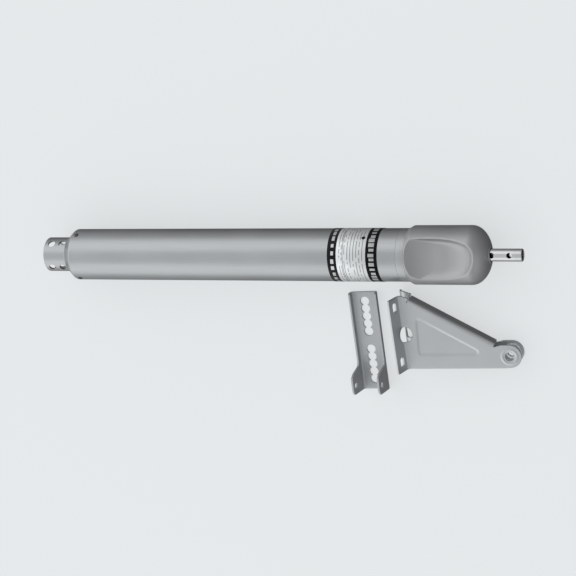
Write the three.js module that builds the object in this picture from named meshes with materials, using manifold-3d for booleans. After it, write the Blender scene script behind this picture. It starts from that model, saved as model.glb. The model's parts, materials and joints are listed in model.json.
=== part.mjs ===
// A linear gate opener arm with its two mounting brackets, lying on a flat surface.
// Millimetres, +Z up, +X along the arm towards its push rod.
// Inside the arm a brushed motor drives a planetary gearbox, a lead screw and the push rod.

import * as THREE from 'three';
import { mergeVertices } from 'three/addons/utils/BufferGeometryUtils.js';
import Module from 'manifold-3d';

const wasm = await Module();
wasm.setup();

// ---------------------------------------------------------------- driving dimensions
// Along the arm, x runs from 0 at the neck's rear end. A pair [a, b] is a stretch of x.
// Angles round the arm are degrees from its top towards +Y.

const GAP = 0.3;                    // between pieces that touch or seat in one another
const ARM_ROLL = 10;                // degrees that the round arm has rolled towards +Y

const TUBE_R = 38;                  // 3 in tube
const TUBE_WALL = 2.5;
const TUBE_BORE_R = TUBE_R - TUBE_WALL;
const NECK_R = 25.5;                // the tube's swaged rear end
const NECK_LENGTH = 34;
const SWAGE_END = 51;               // where the swage reaches the full tube
const NECK_HOLE_R = 5.6;
const NECK_HOLES_X = [11.5, 29];    // two columns of cross holes
const NECK_HOLE_ANGLES = [45, 135, 225, 315];
const TUBE_END = 563;
const INNER_R = TUBE_BORE_R - 0.4;  // pieces that slip into the tube

const SEAT = [52.8, 59.2];          // the plate that the motor seats on
const GLAND_R = 7;
const RIVET_X = 56;
const RIVET_ANGLES = [55, 175, 295];
const CAP_SCREW_X = 557;
const CAP_SCREW_ANGLES = [140, 230];
const SHANK_R = 2;                  // rivets and cap screws
const HEAD_R = 3.6;

const CAP_R = 42;
const CAP_SPIGOT = 549;             // the cap's sleeve starts here, inside the tube
const CAP_RIM = 575;
const CAP_SHOULDER = 581.5;
const DOME_START = 664.5;
const DOME_TIP = 692;
const DOME_STEPS = 6;
const DOME_TURN = 74;             // degrees of the dome's quarter ellipse that are kept
const RECESS_LENGTH = 96;
const RECESS_HALF_WIDTH = 27;
const RECESS_FLOOR = 23;            // height of the recess floor over the arm's axis
const RECESS_ROUND = 8.5;
const BUSH = [568, 648];
const BUSH_R = 12.6;

const ROD_R = 9;
const ROD_BORE_R = 6.7;
const ROD_START = 236.5;            // inside the drive nut
const ROD_END = 737;
const ROD_HOLES_X = [694, 719.5];
const ROD_HOLE_R = 4;

const LABEL = [461.5, 536];
const LABEL_SPAN = 300;             // degrees of the tube that the label wraps

const CAN = [65, 146];
const CAN_R = 31;
const CAN_BORE_R = 28.6;
const SHAFT = [61.5, 174];
const SHAFT_R = 4;
const MAGNETS = [84, 139];
const MAGNET_BORE_R = 22.6;
const MAGNET_SPAN = 132;            // degrees
const CORE = [88, 134];
const CORE_R = 21.8;
const CORE_SLOTS = 8;
const COIL_HEADS = [[80, 87.6], [134.4, 142]];
const COMMUTATOR = [71.2, 79.2];
const COMMUTATOR_R = 9.8;
const BRUSHES = [72, 78.5];
const BRUSH_HALF = 3.2;
const BRUSH_REACH = [10.2, 24];     // from the commutator outwards

const GEARS = [157, 173];
const GEAR_MODULE = 1.5;
const SUN_TEETH = 12;
const PLANET_TEETH = 12;
const RING_TEETH = 36;
const PLANET_ORBIT = GEAR_MODULE * (SUN_TEETH + PLANET_TEETH) / 2;
const PLANET_ANGLES = [0, 120, 240];
const GEAR_BACKLASH = 0.35;
const PRESSURE_ANGLE = 20;
const GEARBOX_R = 33;
const PIN_R = 3;
const CARRIER = [174.5, 180];

const SCREW_LEAD = 6;
const SCREW_CREST_R = 6;
const SCREW_ROOT_R = 4.8;
const SCREW_FOOT = 178;             // in the carrier's socket
const THREAD_START = 205;
const THREAD_TURNS = 54;
const SCREW_TIP = 536;
const JOURNAL = [195.9, 211];
const JOURNAL_R = 8;
const THRUST_BLOCK = [195, 209];
const THRUST_BLOCK_BORE_R = 17;
const NUT = [218, 256];
const NUT_R = 13;
const CARRIAGE = [224, 250];
const TRIP_MAGNET = [232, 243];
const SWITCH_RAIL = [214, 531];
const SWITCH_LENGTH = 13;

const PLATE = 3;                    // thickness of both stamped brackets

const SLOT_WEB = [43, 150];         // width and length of the web
const SLOT_LIP = 11;                // height of the lips over the floor
const SLOT_EAR = [34, 46];          // length along the web, and height over the floor
const SLOT_EAR_HOLE = [16, 34];     // from the end, and over the floor
const SLOT_EAR_HOLE_R = 4.5;
const SLOT_HOLE_R = 6.6;
const SLOT_HOLE_PITCH = 11.6;
const SLOT_HOLES = 5;
const SLOT_STARTS = [8, 81.5];      // from the plain end to each slot's first edge
const SLOT_PLACE = [485.8, -142.6];
const SLOT_TURN = 2.2;              // degrees

const CHEEK_GAP = 19;               // between the two cheeks, for the push rod's end
const CHEEK_OUT = CHEEK_GAP / 2 + PLATE;
const FOLD_HEIGHT = 111;
const FOLD_LEAN = 3;                // degrees that the fold leans from square to the lower edge
const FLANGE_LEAN = 19;             // degrees that the flanges lean from square to the cheeks
const FLANGE_WIDTHS = { near: 29, far: 14 };
const FLANGE_SLOTS_Y = [15, 97];
const FLANGE_SLOT = [4.5, 5];       // end radius, and distance between the ends' centres
const BEND_R = 6;                   // inside the fold
const CHEEK_TUCK = 0.6 - PLATE;     // how far the cheek runs into the flange's thickness
const FORK_HOLE = [147.5, 17.5];
const FORK_R = 17;
const FORK_HOLE_R = 6.5;
const FORK_RING_R = [9.5, 12];
const PRESSED = [[16, 21], [113, 21], [16, 78]];
const PRESSED_DEPTH = 1.1;
const SLANT = [[6, 106], [127, 38]];
const FOLD_HOLE_Y = 52;
const FOLD_HOLE_R = 11.5;
const TRI_PLACE = [554.4, -172.9];
const TRI_TILT = 4.8;               // degrees

const ROUND = 48;                   // sides of the large visible rounds
const FINE = 24;
const SMALL = 16;
const TINY = 8;

// ---------------------------------------------------------------- materials

const LOOKS = {
  tube: { color: 0xaab0b2, roughness: 0.42, metalness: 0.9 },
  cap: { color: 0x858687, roughness: 0.62, metalness: 0.25 },
  collar: { color: 0xb9bab8, roughness: 0.7, metalness: 0.0 },
  chrome: { color: 0xd3d8d9, roughness: 0.12, metalness: 1.0 },
  zinc: { color: 0xaeb4b6, roughness: 0.38, metalness: 0.95 },
  steel: { color: 0x8d9396, roughness: 0.35, metalness: 1.0 },
  dark_steel: { color: 0x54585b, roughness: 0.45, metalness: 0.9 },
  magnet: { color: 0x35373a, roughness: 0.8, metalness: 0.2 },
  copper: { color: 0xb5692f, roughness: 0.4, metalness: 0.9 },
  bronze: { color: 0xa98545, roughness: 0.45, metalness: 0.85 },
  carbon: { color: 0x232427, roughness: 0.9, metalness: 0.1 },
  acetal: { color: 0xe4e2d8, roughness: 0.55, metalness: 0.0 },
  rubber: { color: 0x1d1e1f, roughness: 0.9, metalness: 0.0 },
  board: { color: 0x2c6b45, roughness: 0.6, metalness: 0.0 },
  label: { color: 0xe9ebea, roughness: 0.35, metalness: 0.0 },
};

function look(name) {
  return new THREE.MeshStandardMaterial(LOOKS[name]);
}

// ---------------------------------------------------------------- solids from three.js geometry

const radians = THREE.MathUtils.degToRad;

function solid(geometry) {
  const bare = geometry.index ? geometry.toNonIndexed() : geometry.clone();
  bare.deleteAttribute('normal');
  bare.deleteAttribute('uv');
  const merged = mergeVertices(bare, 1e-4);
  const corners = merged.index.array;
  const kept = [];
  for (let i = 0; i < corners.length; i += 3) {
    const [a, b, c] = [corners[i], corners[i + 1], corners[i + 2]];
    if (a !== b && b !== c && c !== a) kept.push(a, b, c);
  }
  const vertProperties = new Float32Array(merged.attributes.position.array);
  const build = (triVerts) => new wasm.Manifold(new wasm.Mesh({ numProp: 3, vertProperties, triVerts }));
  const made = build(new Uint32Array(kept));
  return made.volume() > 0 ? made : build(new Uint32Array(kept.reverse()));
}

function join(...parts) {
  return parts.reduce((whole, part) => whole.add(part));
}

function cut(body, ...tools) {
  return tools.reduce((left, tool) => left.subtract(tool), body);
}

function geometryOf(body) {
  const mesh = body.getMesh();
  const geometry = new THREE.BufferGeometry();
  geometry.setAttribute('position', new THREE.BufferAttribute(new Float32Array(mesh.vertProperties), 3));
  geometry.setIndex(new THREE.BufferAttribute(new Uint32Array(mesh.triVerts), 1));
  geometry.computeVertexNormals();
  return geometry;
}

function piece(name, body, lookName) {
  const mesh = new THREE.Mesh(geometryOf(body), look(lookName));
  mesh.name = name;
  return mesh;
}

// A closed outline of [x along the axis, radius] points, turned about the X axis.
function turned(outline, sides) {
  const points = outline.map(([x, r]) => new THREE.Vector2(r, x));
  const onAxis = outline[0][1] === 0 && outline[outline.length - 1][1] === 0;
  if (!onAxis) points.push(points[0].clone());
  return solid(new THREE.LatheGeometry(points, sides).rotateZ(-Math.PI / 2));
}

function ring(x0, x1, outer, inner, sides) {
  return turned([[x0, inner], [x1, inner], [x1, outer], [x0, outer]], sides);
}

function rod(x0, x1, radius, sides) {
  return turned([[x0, 0], [x0, radius], [x1, radius], [x1, 0]], sides);
}

// A flat shape drawn in the YZ plane as (y, z), pushed along X from x0 to x1.
function pushed(shape, x0, x1, curveSegments = 6) {
  const geometry = new THREE.ExtrudeGeometry(shape, { depth: x1 - x0, bevelEnabled: false, curveSegments });
  geometry.rotateY(Math.PI / 2).rotateX(Math.PI / 2);
  return solid(geometry.translate(x0, 0, 0));
}

// A flat shape drawn in the XY plane, raised along Z from z0 to z1.
function raised(shape, z0, z1, curveSegments = 8) {
  const geometry = new THREE.ExtrudeGeometry(shape, { depth: z1 - z0, bevelEnabled: false, curveSegments });
  return solid(geometry.translate(0, 0, z0));
}

function block(x0, x1, y0, y1, z0, z1) {
  const geometry = new THREE.BoxGeometry(x1 - x0, y1 - y0, z1 - z0);
  return solid(geometry.translate((x0 + x1) / 2, (y0 + y1) / 2, (z0 + z1) / 2));
}

// A round bar along Z through (x, y).
function upright(x, y, z0, z1, radius, sides) {
  const geometry = new THREE.CylinderGeometry(radius, radius, z1 - z0, sides).rotateX(Math.PI / 2);
  return solid(geometry.translate(x, y, (z0 + z1) / 2));
}

// A round bar that points away from the arm's axis at an angle from +Z towards +Y.
function radial(x, angle, r0, r1, radius, sides) {
  const geometry = new THREE.CylinderGeometry(radius, radius, r1 - r0, sides).rotateX(Math.PI / 2);
  return solid(geometry.translate(x, 0, (r0 + r1) / 2).rotateX(-radians(angle)));
}

// ---------------------------------------------------------------- housing

function mainTube() {
  const outside = [
    [0.8, NECK_R], [NECK_LENGTH - 1, NECK_R], [NECK_LENGTH + 3, NECK_R + 1.6],
    [SWAGE_END - 4, TUBE_R - 1.4], [SWAGE_END, TUBE_R], [TUBE_END, TUBE_R],
  ];
  const inside = [
    [TUBE_END, TUBE_BORE_R], [SWAGE_END, TUBE_BORE_R], [NECK_LENGTH + 1, NECK_R - TUBE_WALL],
    [0, NECK_R - TUBE_WALL],
  ];
  const tube = turned([[0, NECK_R - 0.8], ...outside, ...inside], ROUND);
  const drills = NECK_HOLES_X.flatMap((x) =>
    NECK_HOLE_ANGLES.map((angle) => radial(x, angle, NECK_R - 8, NECK_R + 4, NECK_HOLE_R, 12)));
  const rivetHoles = RIVET_ANGLES.map((angle) =>
    radial(RIVET_X, angle, TUBE_BORE_R - 5, TUBE_R + 4, SHANK_R + GAP, TINY));
  const screwHoles = CAP_SCREW_ANGLES.map((angle) =>
    radial(CAP_SCREW_X, angle, TUBE_BORE_R - 5, TUBE_R + 4, SHANK_R + GAP, TINY));
  return cut(tube, ...drills, ...rivetHoles, ...screwHoles);
}

// A button-headed fastener that goes through the tube's wall into the piece inside.
function wallFastener(x, angle) {
  const shank = radial(x, angle, TUBE_BORE_R - 3, TUBE_R + 0.6, SHANK_R, TINY);
  const head = radial(x, angle, TUBE_R + 0.15, TUBE_R + 1.4, HEAD_R, 12);
  return join(shank, head);
}

function motorSeat() {
  const plate = ring(SEAT[0], SEAT[1], INNER_R, GLAND_R + GAP, FINE);
  const sockets = RIVET_ANGLES.map((angle) =>
    radial(RIVET_X, angle, TUBE_BORE_R - 4, TUBE_R, SHANK_R + GAP, TINY));
  return cut(plate, ...sockets);
}

function cableGland() {
  const body = ring(42, SEAT[1] + 1.5, GLAND_R, 3.5, SMALL);
  const hexagon = ring(SEAT[0] - 6.3, SEAT[0] - GAP, 11, 6, 6);
  return join(body, hexagon);
}

function label() {
  const half = radians(LABEL_SPAN / 2);
  const inner = TUBE_R + 0.12;
  const outer = TUBE_R + 0.4;
  const up = Math.PI / 2;
  const band = new THREE.Shape();
  band.absarc(0, 0, outer, up - half, up + half, false);
  band.absarc(0, 0, inner, up + half, up - half, true);
  return pushed(band, ...LABEL, 22);
}

function capCollar() {
  return ring(TUBE_END + GAP, CAP_RIM - GAP, TUBE_R + 0.2, INNER_R + GAP, ROUND);
}

// The long scoop in the cap's side: wide at the rim, narrowing to a rounded tip.
function recess() {
  const start = CAP_RIM + 1.5;
  const end = start + RECESS_LENGTH;
  const half = RECESS_HALF_WIDTH;
  const outline = new THREE.Shape();
  outline.moveTo(start, half - 15);
  outline.quadraticCurveTo(start, half - 1.5, start + 14, half - 1);
  outline.quadraticCurveTo(start + 36, half + 1, start + 62, half - 3);
  outline.bezierCurveTo(start + 81, half - 8, end, half - 15, end, 0);
  outline.bezierCurveTo(end, 15 - half, start + 81, 8 - half, start + 62, 3 - half);
  outline.quadraticCurveTo(start + 36, -half - 1, start + 14, 1 - half);
  outline.quadraticCurveTo(start, 1.5 - half, start, 15 - half);
  const geometry = new THREE.ExtrudeGeometry(outline, {
    depth: CAP_R - RECESS_FLOOR - RECESS_ROUND + 4,
    bevelEnabled: true,
    bevelSegments: 2,
    bevelThickness: RECESS_ROUND,
    bevelSize: RECESS_ROUND,
    bevelOffset: -RECESS_ROUND,
    curveSegments: 3,
  });
  return solid(geometry.translate(0, 0, RECESS_FLOOR + RECESS_ROUND));
}

function recessBelow() {
  return recess().rotate([180, 0, 0]);
}

function endCap() {
  const dome = [];
  for (let step = 0; step <= DOME_STEPS; step += 1) {
    const turn = radians(DOME_TURN * step / DOME_STEPS);
    dome.push([DOME_START + (DOME_TIP - DOME_START) * Math.sin(turn), CAP_R * Math.cos(turn)]);
  }
  const shell = turned([
    [CAP_SPIGOT, INNER_R], [CAP_RIM, INNER_R], [CAP_RIM, TUBE_R + 0.4], [CAP_SHOULDER, CAP_R],
    ...dome, [DOME_TIP, 11.5], [DOME_TIP, ROD_R + 0.8],
    [BUSH[1] + 10, ROD_R + 0.8], [BUSH[1] + 10, BUSH_R + GAP], [566, BUSH_R + GAP],
    [562, 31], [CAP_SPIGOT, 31],
  ], ROUND);
  const sockets = CAP_SCREW_ANGLES.map((angle) =>
    radial(CAP_SCREW_X, angle, TUBE_BORE_R - 4, TUBE_R, SHANK_R + GAP, TINY));
  return cut(shell, recess(), recessBelow(), ...sockets);
}

function rodBush() {
  return ring(BUSH[0], BUSH[1], BUSH_R, ROD_R + 0.25, FINE);
}

function rodWiper() {
  return turned([
    [BUSH[1] + GAP, ROD_R + 0.9], [BUSH[1] + 7, ROD_R + 0.2], [BUSH[1] + 9.6, ROD_R + 0.2],
    [BUSH[1] + 9.6, BUSH_R], [BUSH[1] + GAP, BUSH_R],
  ], FINE);
}

function frontBumper() {
  return turned([[534.5, 20], [548.7, 17], [548.7, INNER_R], [534.5, INNER_R - 2]], FINE);
}

// ---------------------------------------------------------------- motor

function motorCan() {
  return ring(CAN[0], CAN[1], CAN_R, CAN_BORE_R, FINE);
}

// An end plate of the motor, with a spigot in the can and a boss with the bearing's seat.
function endPlate(face, inward) {
  const x = (distance) => face + inward * distance;
  return turned([
    [x(-4), 8.3], [x(-4), CAN_R], [x(-GAP), CAN_R], [x(-GAP), CAN_BORE_R - GAP],
    [x(2.5), CAN_BORE_R - GAP], [x(0), 8.3],
  ], FINE);
}

function shaftBearing(face, inward) {
  const ends = [face, face - inward * 3.7];
  return ring(Math.min(...ends), Math.max(...ends), 8, SHAFT_R + GAP, SMALL);
}

function magnet(middle) {
  const half = radians(MAGNET_SPAN / 2);
  const at = radians(middle);
  const arc = new THREE.Shape();
  arc.absarc(0, 0, CAN_BORE_R - GAP, at - half, at + half, false);
  arc.absarc(0, 0, MAGNET_BORE_R, at + half, at - half, true);
  return pushed(arc, ...MAGNETS, 10);
}

function brushHolder() {
  const body = ring(BRUSHES[0] - 1.5, BRUSHES[1] + 0.5, CAN_BORE_R - GAP, 17, FINE);
  const half = BRUSH_HALF + 0.4;
  return cut(body, block(BRUSHES[0] - 0.5, BRUSHES[1] + 1.5, -half, half, -26, 26));
}

function brush(side) {
  const [near, far] = BRUSH_REACH;
  return block(...BRUSHES, -BRUSH_HALF, BRUSH_HALF, near, far).rotate([side > 0 ? 0 : 180, 0, 0]);
}

function armatureShaft() {
  return rod(...SHAFT, SHAFT_R, SMALL);
}

function armatureCore() {
  const stack = rod(...CORE, CORE_R, 40);
  const through = [CORE[0] - 1, CORE[1] + 1];
  const bore = rod(...through, SHAFT_R + GAP, SMALL);
  const wells = [];
  for (let slot = 0; slot < CORE_SLOTS; slot += 1) {
    const angle = 360 * (slot + 0.5) / CORE_SLOTS;
    wells.push(block(...through, -1.1, 1.1, 14, CORE_R + 2).rotate([angle, 0, 0]));
    wells.push(block(...through, -3, 3, 10.5, 18).rotate([angle, 0, 0]));
  }
  return cut(stack, bore, ...wells);
}

function coilHead([x0, x1]) {
  const middle = (x0 + x1) / 2;
  return turned([[x0, 8], [x1, 8], [x1, 17], [middle, 20], [x0, 17]], SMALL);
}

function commutator() {
  const [x0, x1] = COMMUTATOR;
  const bars = ring(x0, x1, COMMUTATOR_R, SHAFT_R + GAP, FINE);
  const grooves = [];
  for (let groove = 0; groove < CORE_SLOTS; groove += 1) {
    const slit = block(x0 - 1, x1 + 1, -0.4, 0.4, COMMUTATOR_R - 1.4, COMMUTATOR_R + 1);
    grooves.push(slit.rotate([360 * groove / CORE_SLOTS, 0, 0]));
  }
  return cut(bars, ...grooves);
}

// ---------------------------------------------------------------- planetary gearbox

// The outline of a spur gear with involute flanks, one of its teeth centred on the drawing's
// X axis. A thicker tooth makes the cutter of an internal gear.
function gearOutline(teeth, tipR, rootR, extraThickness) {
  const pitchR = GEAR_MODULE * teeth / 2;
  const baseR = pitchR * Math.cos(radians(PRESSURE_ANGLE));
  const involute = (angle) => Math.tan(angle) - angle;
  const halfAtPitch = Math.PI / (2 * teeth) + extraThickness / (2 * pitchR);
  const halfAngle = (r) => {
    const pressure = r > baseR ? Math.acos(baseR / r) : 0;
    return halfAtPitch + involute(radians(PRESSURE_ANGLE)) - involute(pressure);
  };
  const radii = [rootR, Math.max((baseR + pitchR) / 2, rootR + 0.3), tipR];
  const points = [];
  for (let tooth = 0; tooth < teeth; tooth += 1) {
    const middle = 2 * Math.PI * tooth / teeth;
    for (const r of radii) points.push([r, middle - halfAngle(r)]);
    for (const r of radii.toReversed()) points.push([r, middle + halfAngle(r)]);
  }
  return points.map(([r, angle]) => new THREE.Vector2(r * Math.cos(angle), r * Math.sin(angle)));
}

function spurGear(teeth, turn) {
  const pitchR = GEAR_MODULE * teeth / 2;
  const [tipR, rootR] = [pitchR + 0.8 * GEAR_MODULE, pitchR - 1.1 * GEAR_MODULE];
  const outline = gearOutline(teeth, tipR, rootR, -GEAR_BACKLASH);
  return pushed(new THREE.Shape(outline), ...GEARS).rotate([turn, 0, 0]);
}

function sunPinion() {
  return cut(spurGear(SUN_TEETH, 0), rod(GEARS[0] - 1, GEARS[1] + 1, SHAFT_R + GAP, SMALL));
}

// A planet about its own axis, turned half a tooth so that it meshes with the sun and the ring.
function planetGear() {
  const gear = spurGear(PLANET_TEETH, 180 / PLANET_TEETH);
  return cut(gear, rod(GEARS[0] - 1, GEARS[1] + 1, PIN_R + 0.35, SMALL));
}

function ringGear() {
  const pitchR = GEAR_MODULE * RING_TEETH / 2;
  const [rootR, tipR] = [pitchR + 1.2 * GEAR_MODULE, pitchR - 0.8 * GEAR_MODULE];
  const outline = gearOutline(RING_TEETH, rootR, tipR, GEAR_BACKLASH);
  const cutter = pushed(new THREE.Shape(outline), GEARS[0] - 2, GEARS[1] + 2);
  const drum = rod(GEARS[0] - 6, GEARS[1] + 2, GEARBOX_R, FINE);
  const mouth = rod(GEARS[0] - 7, GEARS[0] - 1, 22, FINE);
  return cut(drum, cutter.rotate([180 / RING_TEETH, 0, 0]), mouth);
}

function planetPin() {
  return rod(GEARS[0] + 0.5, CARRIER[1] - 0.2, PIN_R, SMALL);
}

function planetPlace(angle) {
  return [0, PLANET_ORBIT * Math.sin(radians(angle)), PLANET_ORBIT * Math.cos(radians(angle))];
}

function carrier() {
  const disc = join(rod(...CARRIER, 24, FINE), rod(CARRIER[1] - 1, 192, 11, SMALL));
  const socket = rod(SCREW_FOOT - 0.5, 193, SCREW_CREST_R + GAP, SMALL);
  const pinHoles = PLANET_ANGLES.map((angle) =>
    rod(CARRIER[0] - 1, CARRIER[1] + 1, PIN_R + GAP, SMALL).translate(planetPlace(angle)));
  return cut(disc, socket, ...pinHoles);
}

function gearboxCover() {
  const face = GEARS[1] + 2 + GAP;
  const inner = CARRIER[1] + 1;
  return turned([
    [face, GEARBOX_R], [face, 25.5], [inner, 25.5], [inner, 12], [inner + 4, 12], [inner + 4, GEARBOX_R],
  ], FINE);
}

// ---------------------------------------------------------------- screw and rod

function thrustBlock() {
  return ring(...THRUST_BLOCK, INNER_R, THRUST_BLOCK_BORE_R, FINE);
}

function thrustBearing() {
  const [x0, x1] = THRUST_BLOCK;
  return ring(x0 + 1, x1 - 1, THRUST_BLOCK_BORE_R - GAP, JOURNAL_R + GAP, FINE);
}

function thrustCollar() {
  return ring(JOURNAL[0] - 3.5, JOURNAL[0] - GAP, 11, SCREW_CREST_R + GAP, SMALL);
}

// A right-handed single-start thread: a grooved bar whose every angle is moved along by its
// share of the lead, so that each groove runs on into the next. Two flat fans close its ends.
function threadedBar(start, turns) {
  const sides = 8;
  const outline = [new THREE.Vector2(0, 0)];
  for (let turn = 0; turn < turns; turn += 1) {
    outline.push(new THREE.Vector2(SCREW_ROOT_R, turn * SCREW_LEAD));
    outline.push(new THREE.Vector2(SCREW_CREST_R, (turn + 0.5) * SCREW_LEAD));
  }
  outline.push(new THREE.Vector2(SCREW_ROOT_R, turns * SCREW_LEAD), new THREE.Vector2(0, turns * SCREW_LEAD));
  const bar = new THREE.LatheGeometry(outline, sides);
  const place = bar.attributes.position;
  const at = (side, point) => side * outline.length + point;
  for (let side = 0; side <= sides; side += 1) {
    for (let point = 0; point < outline.length; point += 1) {
      const i = at(side, point);
      place.setY(i, place.getY(i) + SCREW_LEAD * side / sides);
    }
  }
  const last = outline.length - 1;
  const axisUp = Array.from({ length: sides + 1 }, (_, side) => at(side, 0));
  const axisTop = Array.from({ length: sides + 1 }, (_, side) => at(side, last));
  const fans = [
    [at(0, 1), at(0, 2), at(0, 3), ...axisUp.toReversed()],
    [at(sides, last - 1), at(sides, last - 2), at(sides, last - 3), ...axisTop],
  ];
  const faces = Array.from(bar.index.array);
  for (const [hub, ...rim] of fans) {
    for (let i = 0; i + 1 < rim.length; i += 1) faces.push(hub, rim[i], rim[i + 1]);
  }
  bar.setIndex(faces);
  return solid(bar.rotateZ(-Math.PI / 2).translate(start, 0, 0));
}

function leadScrew() {
  const foot = rod(SCREW_FOOT, JOURNAL[0] + 1, SCREW_CREST_R, FINE);
  const journal = rod(...JOURNAL, JOURNAL_R, FINE);
  const threadEnd = THREAD_START + THREAD_TURNS * SCREW_LEAD;
  const tip = rod(threadEnd - 0.5, SCREW_TIP, SCREW_CREST_R + 0.1, FINE);
  return join(foot, journal, threadedBar(THREAD_START, THREAD_TURNS), tip);
}

function driveNut() {
  const body = join(rod(...NUT, NUT_R, FINE), rod(NUT[0], NUT[0] + 5, NUT_R + 1, FINE));
  const bore = rod(NUT[0] - 1, NUT[1] + 1, SCREW_CREST_R + GAP, FINE);
  const socket = rod(ROD_START - 0.5, NUT[1] + 1, ROD_R + GAP, FINE);
  return cut(body, bore, socket);
}

// The guide that keeps the nut central and stops it turning, notched over the switch rail.
function carriage() {
  const body = ring(...CARRIAGE, INNER_R - 0.5, NUT_R + GAP, FINE);
  const notch = block(CARRIAGE[0] - 1, CARRIAGE[1] + 1, -6.5, 6.5, -40, -26);
  const pocket = block(TRIP_MAGNET[0] - GAP, TRIP_MAGNET[1] + GAP, -3 - GAP, 3 + GAP, -27, -22 + GAP);
  return cut(body, notch, pocket);
}

function tripMagnet() {
  return block(...TRIP_MAGNET, -3, 3, -25.8, -22);
}

function pushRod() {
  const tube = turned([
    [ROD_START, ROD_BORE_R], [ROD_END - 0.6, ROD_BORE_R], [ROD_END, ROD_BORE_R + 0.6], [ROD_END, ROD_R - 0.8],
    [ROD_END - 0.8, ROD_R], [ROD_START, ROD_R],
  ], FINE);
  const drills = ROD_HOLES_X.map((x) => upright(x, 0, -12, 12, ROD_HOLE_R, 12));
  return cut(tube, ...drills);
}

function switchRail() {
  return block(...SWITCH_RAIL, -5, 5, -33.8, -32.3);
}

function limitSwitch(x) {
  return block(x, x + SWITCH_LENGTH, -4, 4, -32, -27.3);
}

// ---------------------------------------------------------------- slotted bracket

function slottedBracket() {
  const [width, length] = SLOT_WEB;
  const web = block(-width / 2, width / 2, -length / 2, length / 2, 0, PLATE);
  const side = new THREE.Shape();
  const end = -length / 2;
  side.moveTo(end, 0);
  side.lineTo(length / 2, 0);
  side.lineTo(length / 2, SLOT_LIP - 3);
  side.lineTo(length / 2 - 3, SLOT_LIP);
  side.lineTo(end + SLOT_EAR[0] + 6, SLOT_LIP);
  side.quadraticCurveTo(end + SLOT_EAR[0], SLOT_LIP, end + SLOT_EAR[0], SLOT_LIP + 6);
  side.lineTo(end + SLOT_EAR[0], SLOT_EAR[1] - 5);
  side.lineTo(end + SLOT_EAR[0] - 5, SLOT_EAR[1]);
  side.lineTo(end + 9, SLOT_EAR[1]);
  side.quadraticCurveTo(end + 4.5, SLOT_EAR[1], end + 4, SLOT_EAR[1] - 5);
  const hole = new THREE.Path();
  hole.absarc(end + SLOT_EAR_HOLE[0], SLOT_EAR_HOLE[1], SLOT_EAR_HOLE_R, 0, 2 * Math.PI, true);
  side.holes.push(hole);
  const ears = [-width / 2, width / 2 - PLATE].map((x) => pushed(side, x, x + PLATE, 5));
  const lobes = SLOT_STARTS.flatMap((start) => {
    const first = length / 2 - start - SLOT_HOLE_R;
    return Array.from({ length: SLOT_HOLES }, (_, i) =>
      upright(0, first - i * SLOT_HOLE_PITCH, -1, PLATE + 1, SLOT_HOLE_R, 12));
  });
  return cut(join(web, ...ears), ...lobes);
}

// ---------------------------------------------------------------- triangular bracket

function foldX(y) {
  return -y * Math.tan(radians(FOLD_LEAN));
}

function cheekShape() {
  const [holeX, holeY] = FORK_HOLE;
  const cheek = new THREE.Shape();
  cheek.moveTo(foldX(0) + CHEEK_TUCK, 0);
  cheek.lineTo(holeX, 0);
  cheek.absarc(holeX, holeY, FORK_R, -Math.PI / 2, Math.PI / 2, false);
  cheek.quadraticCurveTo(SLANT[1][0] + 8, SLANT[1][1] - 3, SLANT[1][0], SLANT[1][1]);
  cheek.lineTo(SLANT[0][0], SLANT[0][1]);
  cheek.quadraticCurveTo(SLANT[0][0] - 6, FOLD_HEIGHT - 1, foldX(FOLD_HEIGHT) + CHEEK_TUCK, FOLD_HEIGHT);
  const hole = new THREE.Path();
  hole.absarc(holeX, holeY, FORK_HOLE_R, 0, 2 * Math.PI, true);
  cheek.holes.push(hole);
  return cheek;
}

// One cheek with its flange, its raised ring and its pressed-in triangle, on the +Z side.
function cheekSide(flangeWidth, lean) {
  const inner = CHEEK_GAP / 2;
  const cheek = raised(cheekShape(), inner, CHEEK_OUT, 8);
  const bossRing = new THREE.Shape();
  bossRing.absarc(...FORK_HOLE, FORK_RING_R[1], 0, 2 * Math.PI, false);
  const bore = new THREE.Path();
  bore.absarc(...FORK_HOLE, FORK_RING_R[0], 0, 2 * Math.PI, true);
  bossRing.holes.push(bore);
  const rise = raised(bossRing, CHEEK_OUT - 1, CHEEK_OUT + 1, 8);
  const pressed = new THREE.Shape(PRESSED.map((corner) => new THREE.Vector2(...corner)));
  const recess = raised(pressed, CHEEK_OUT - PRESSED_DEPTH, CHEEK_OUT + 2, 4);
  const flange = foldedFlange(flangeWidth, lean);
  const foldHole = upright(foldX(FOLD_HOLE_Y), FOLD_HOLE_Y, inner - 1, CHEEK_OUT + 3, FOLD_HOLE_R, 24);
  return cut(join(cheek, rise, flange), foldHole, recess);
}

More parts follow.
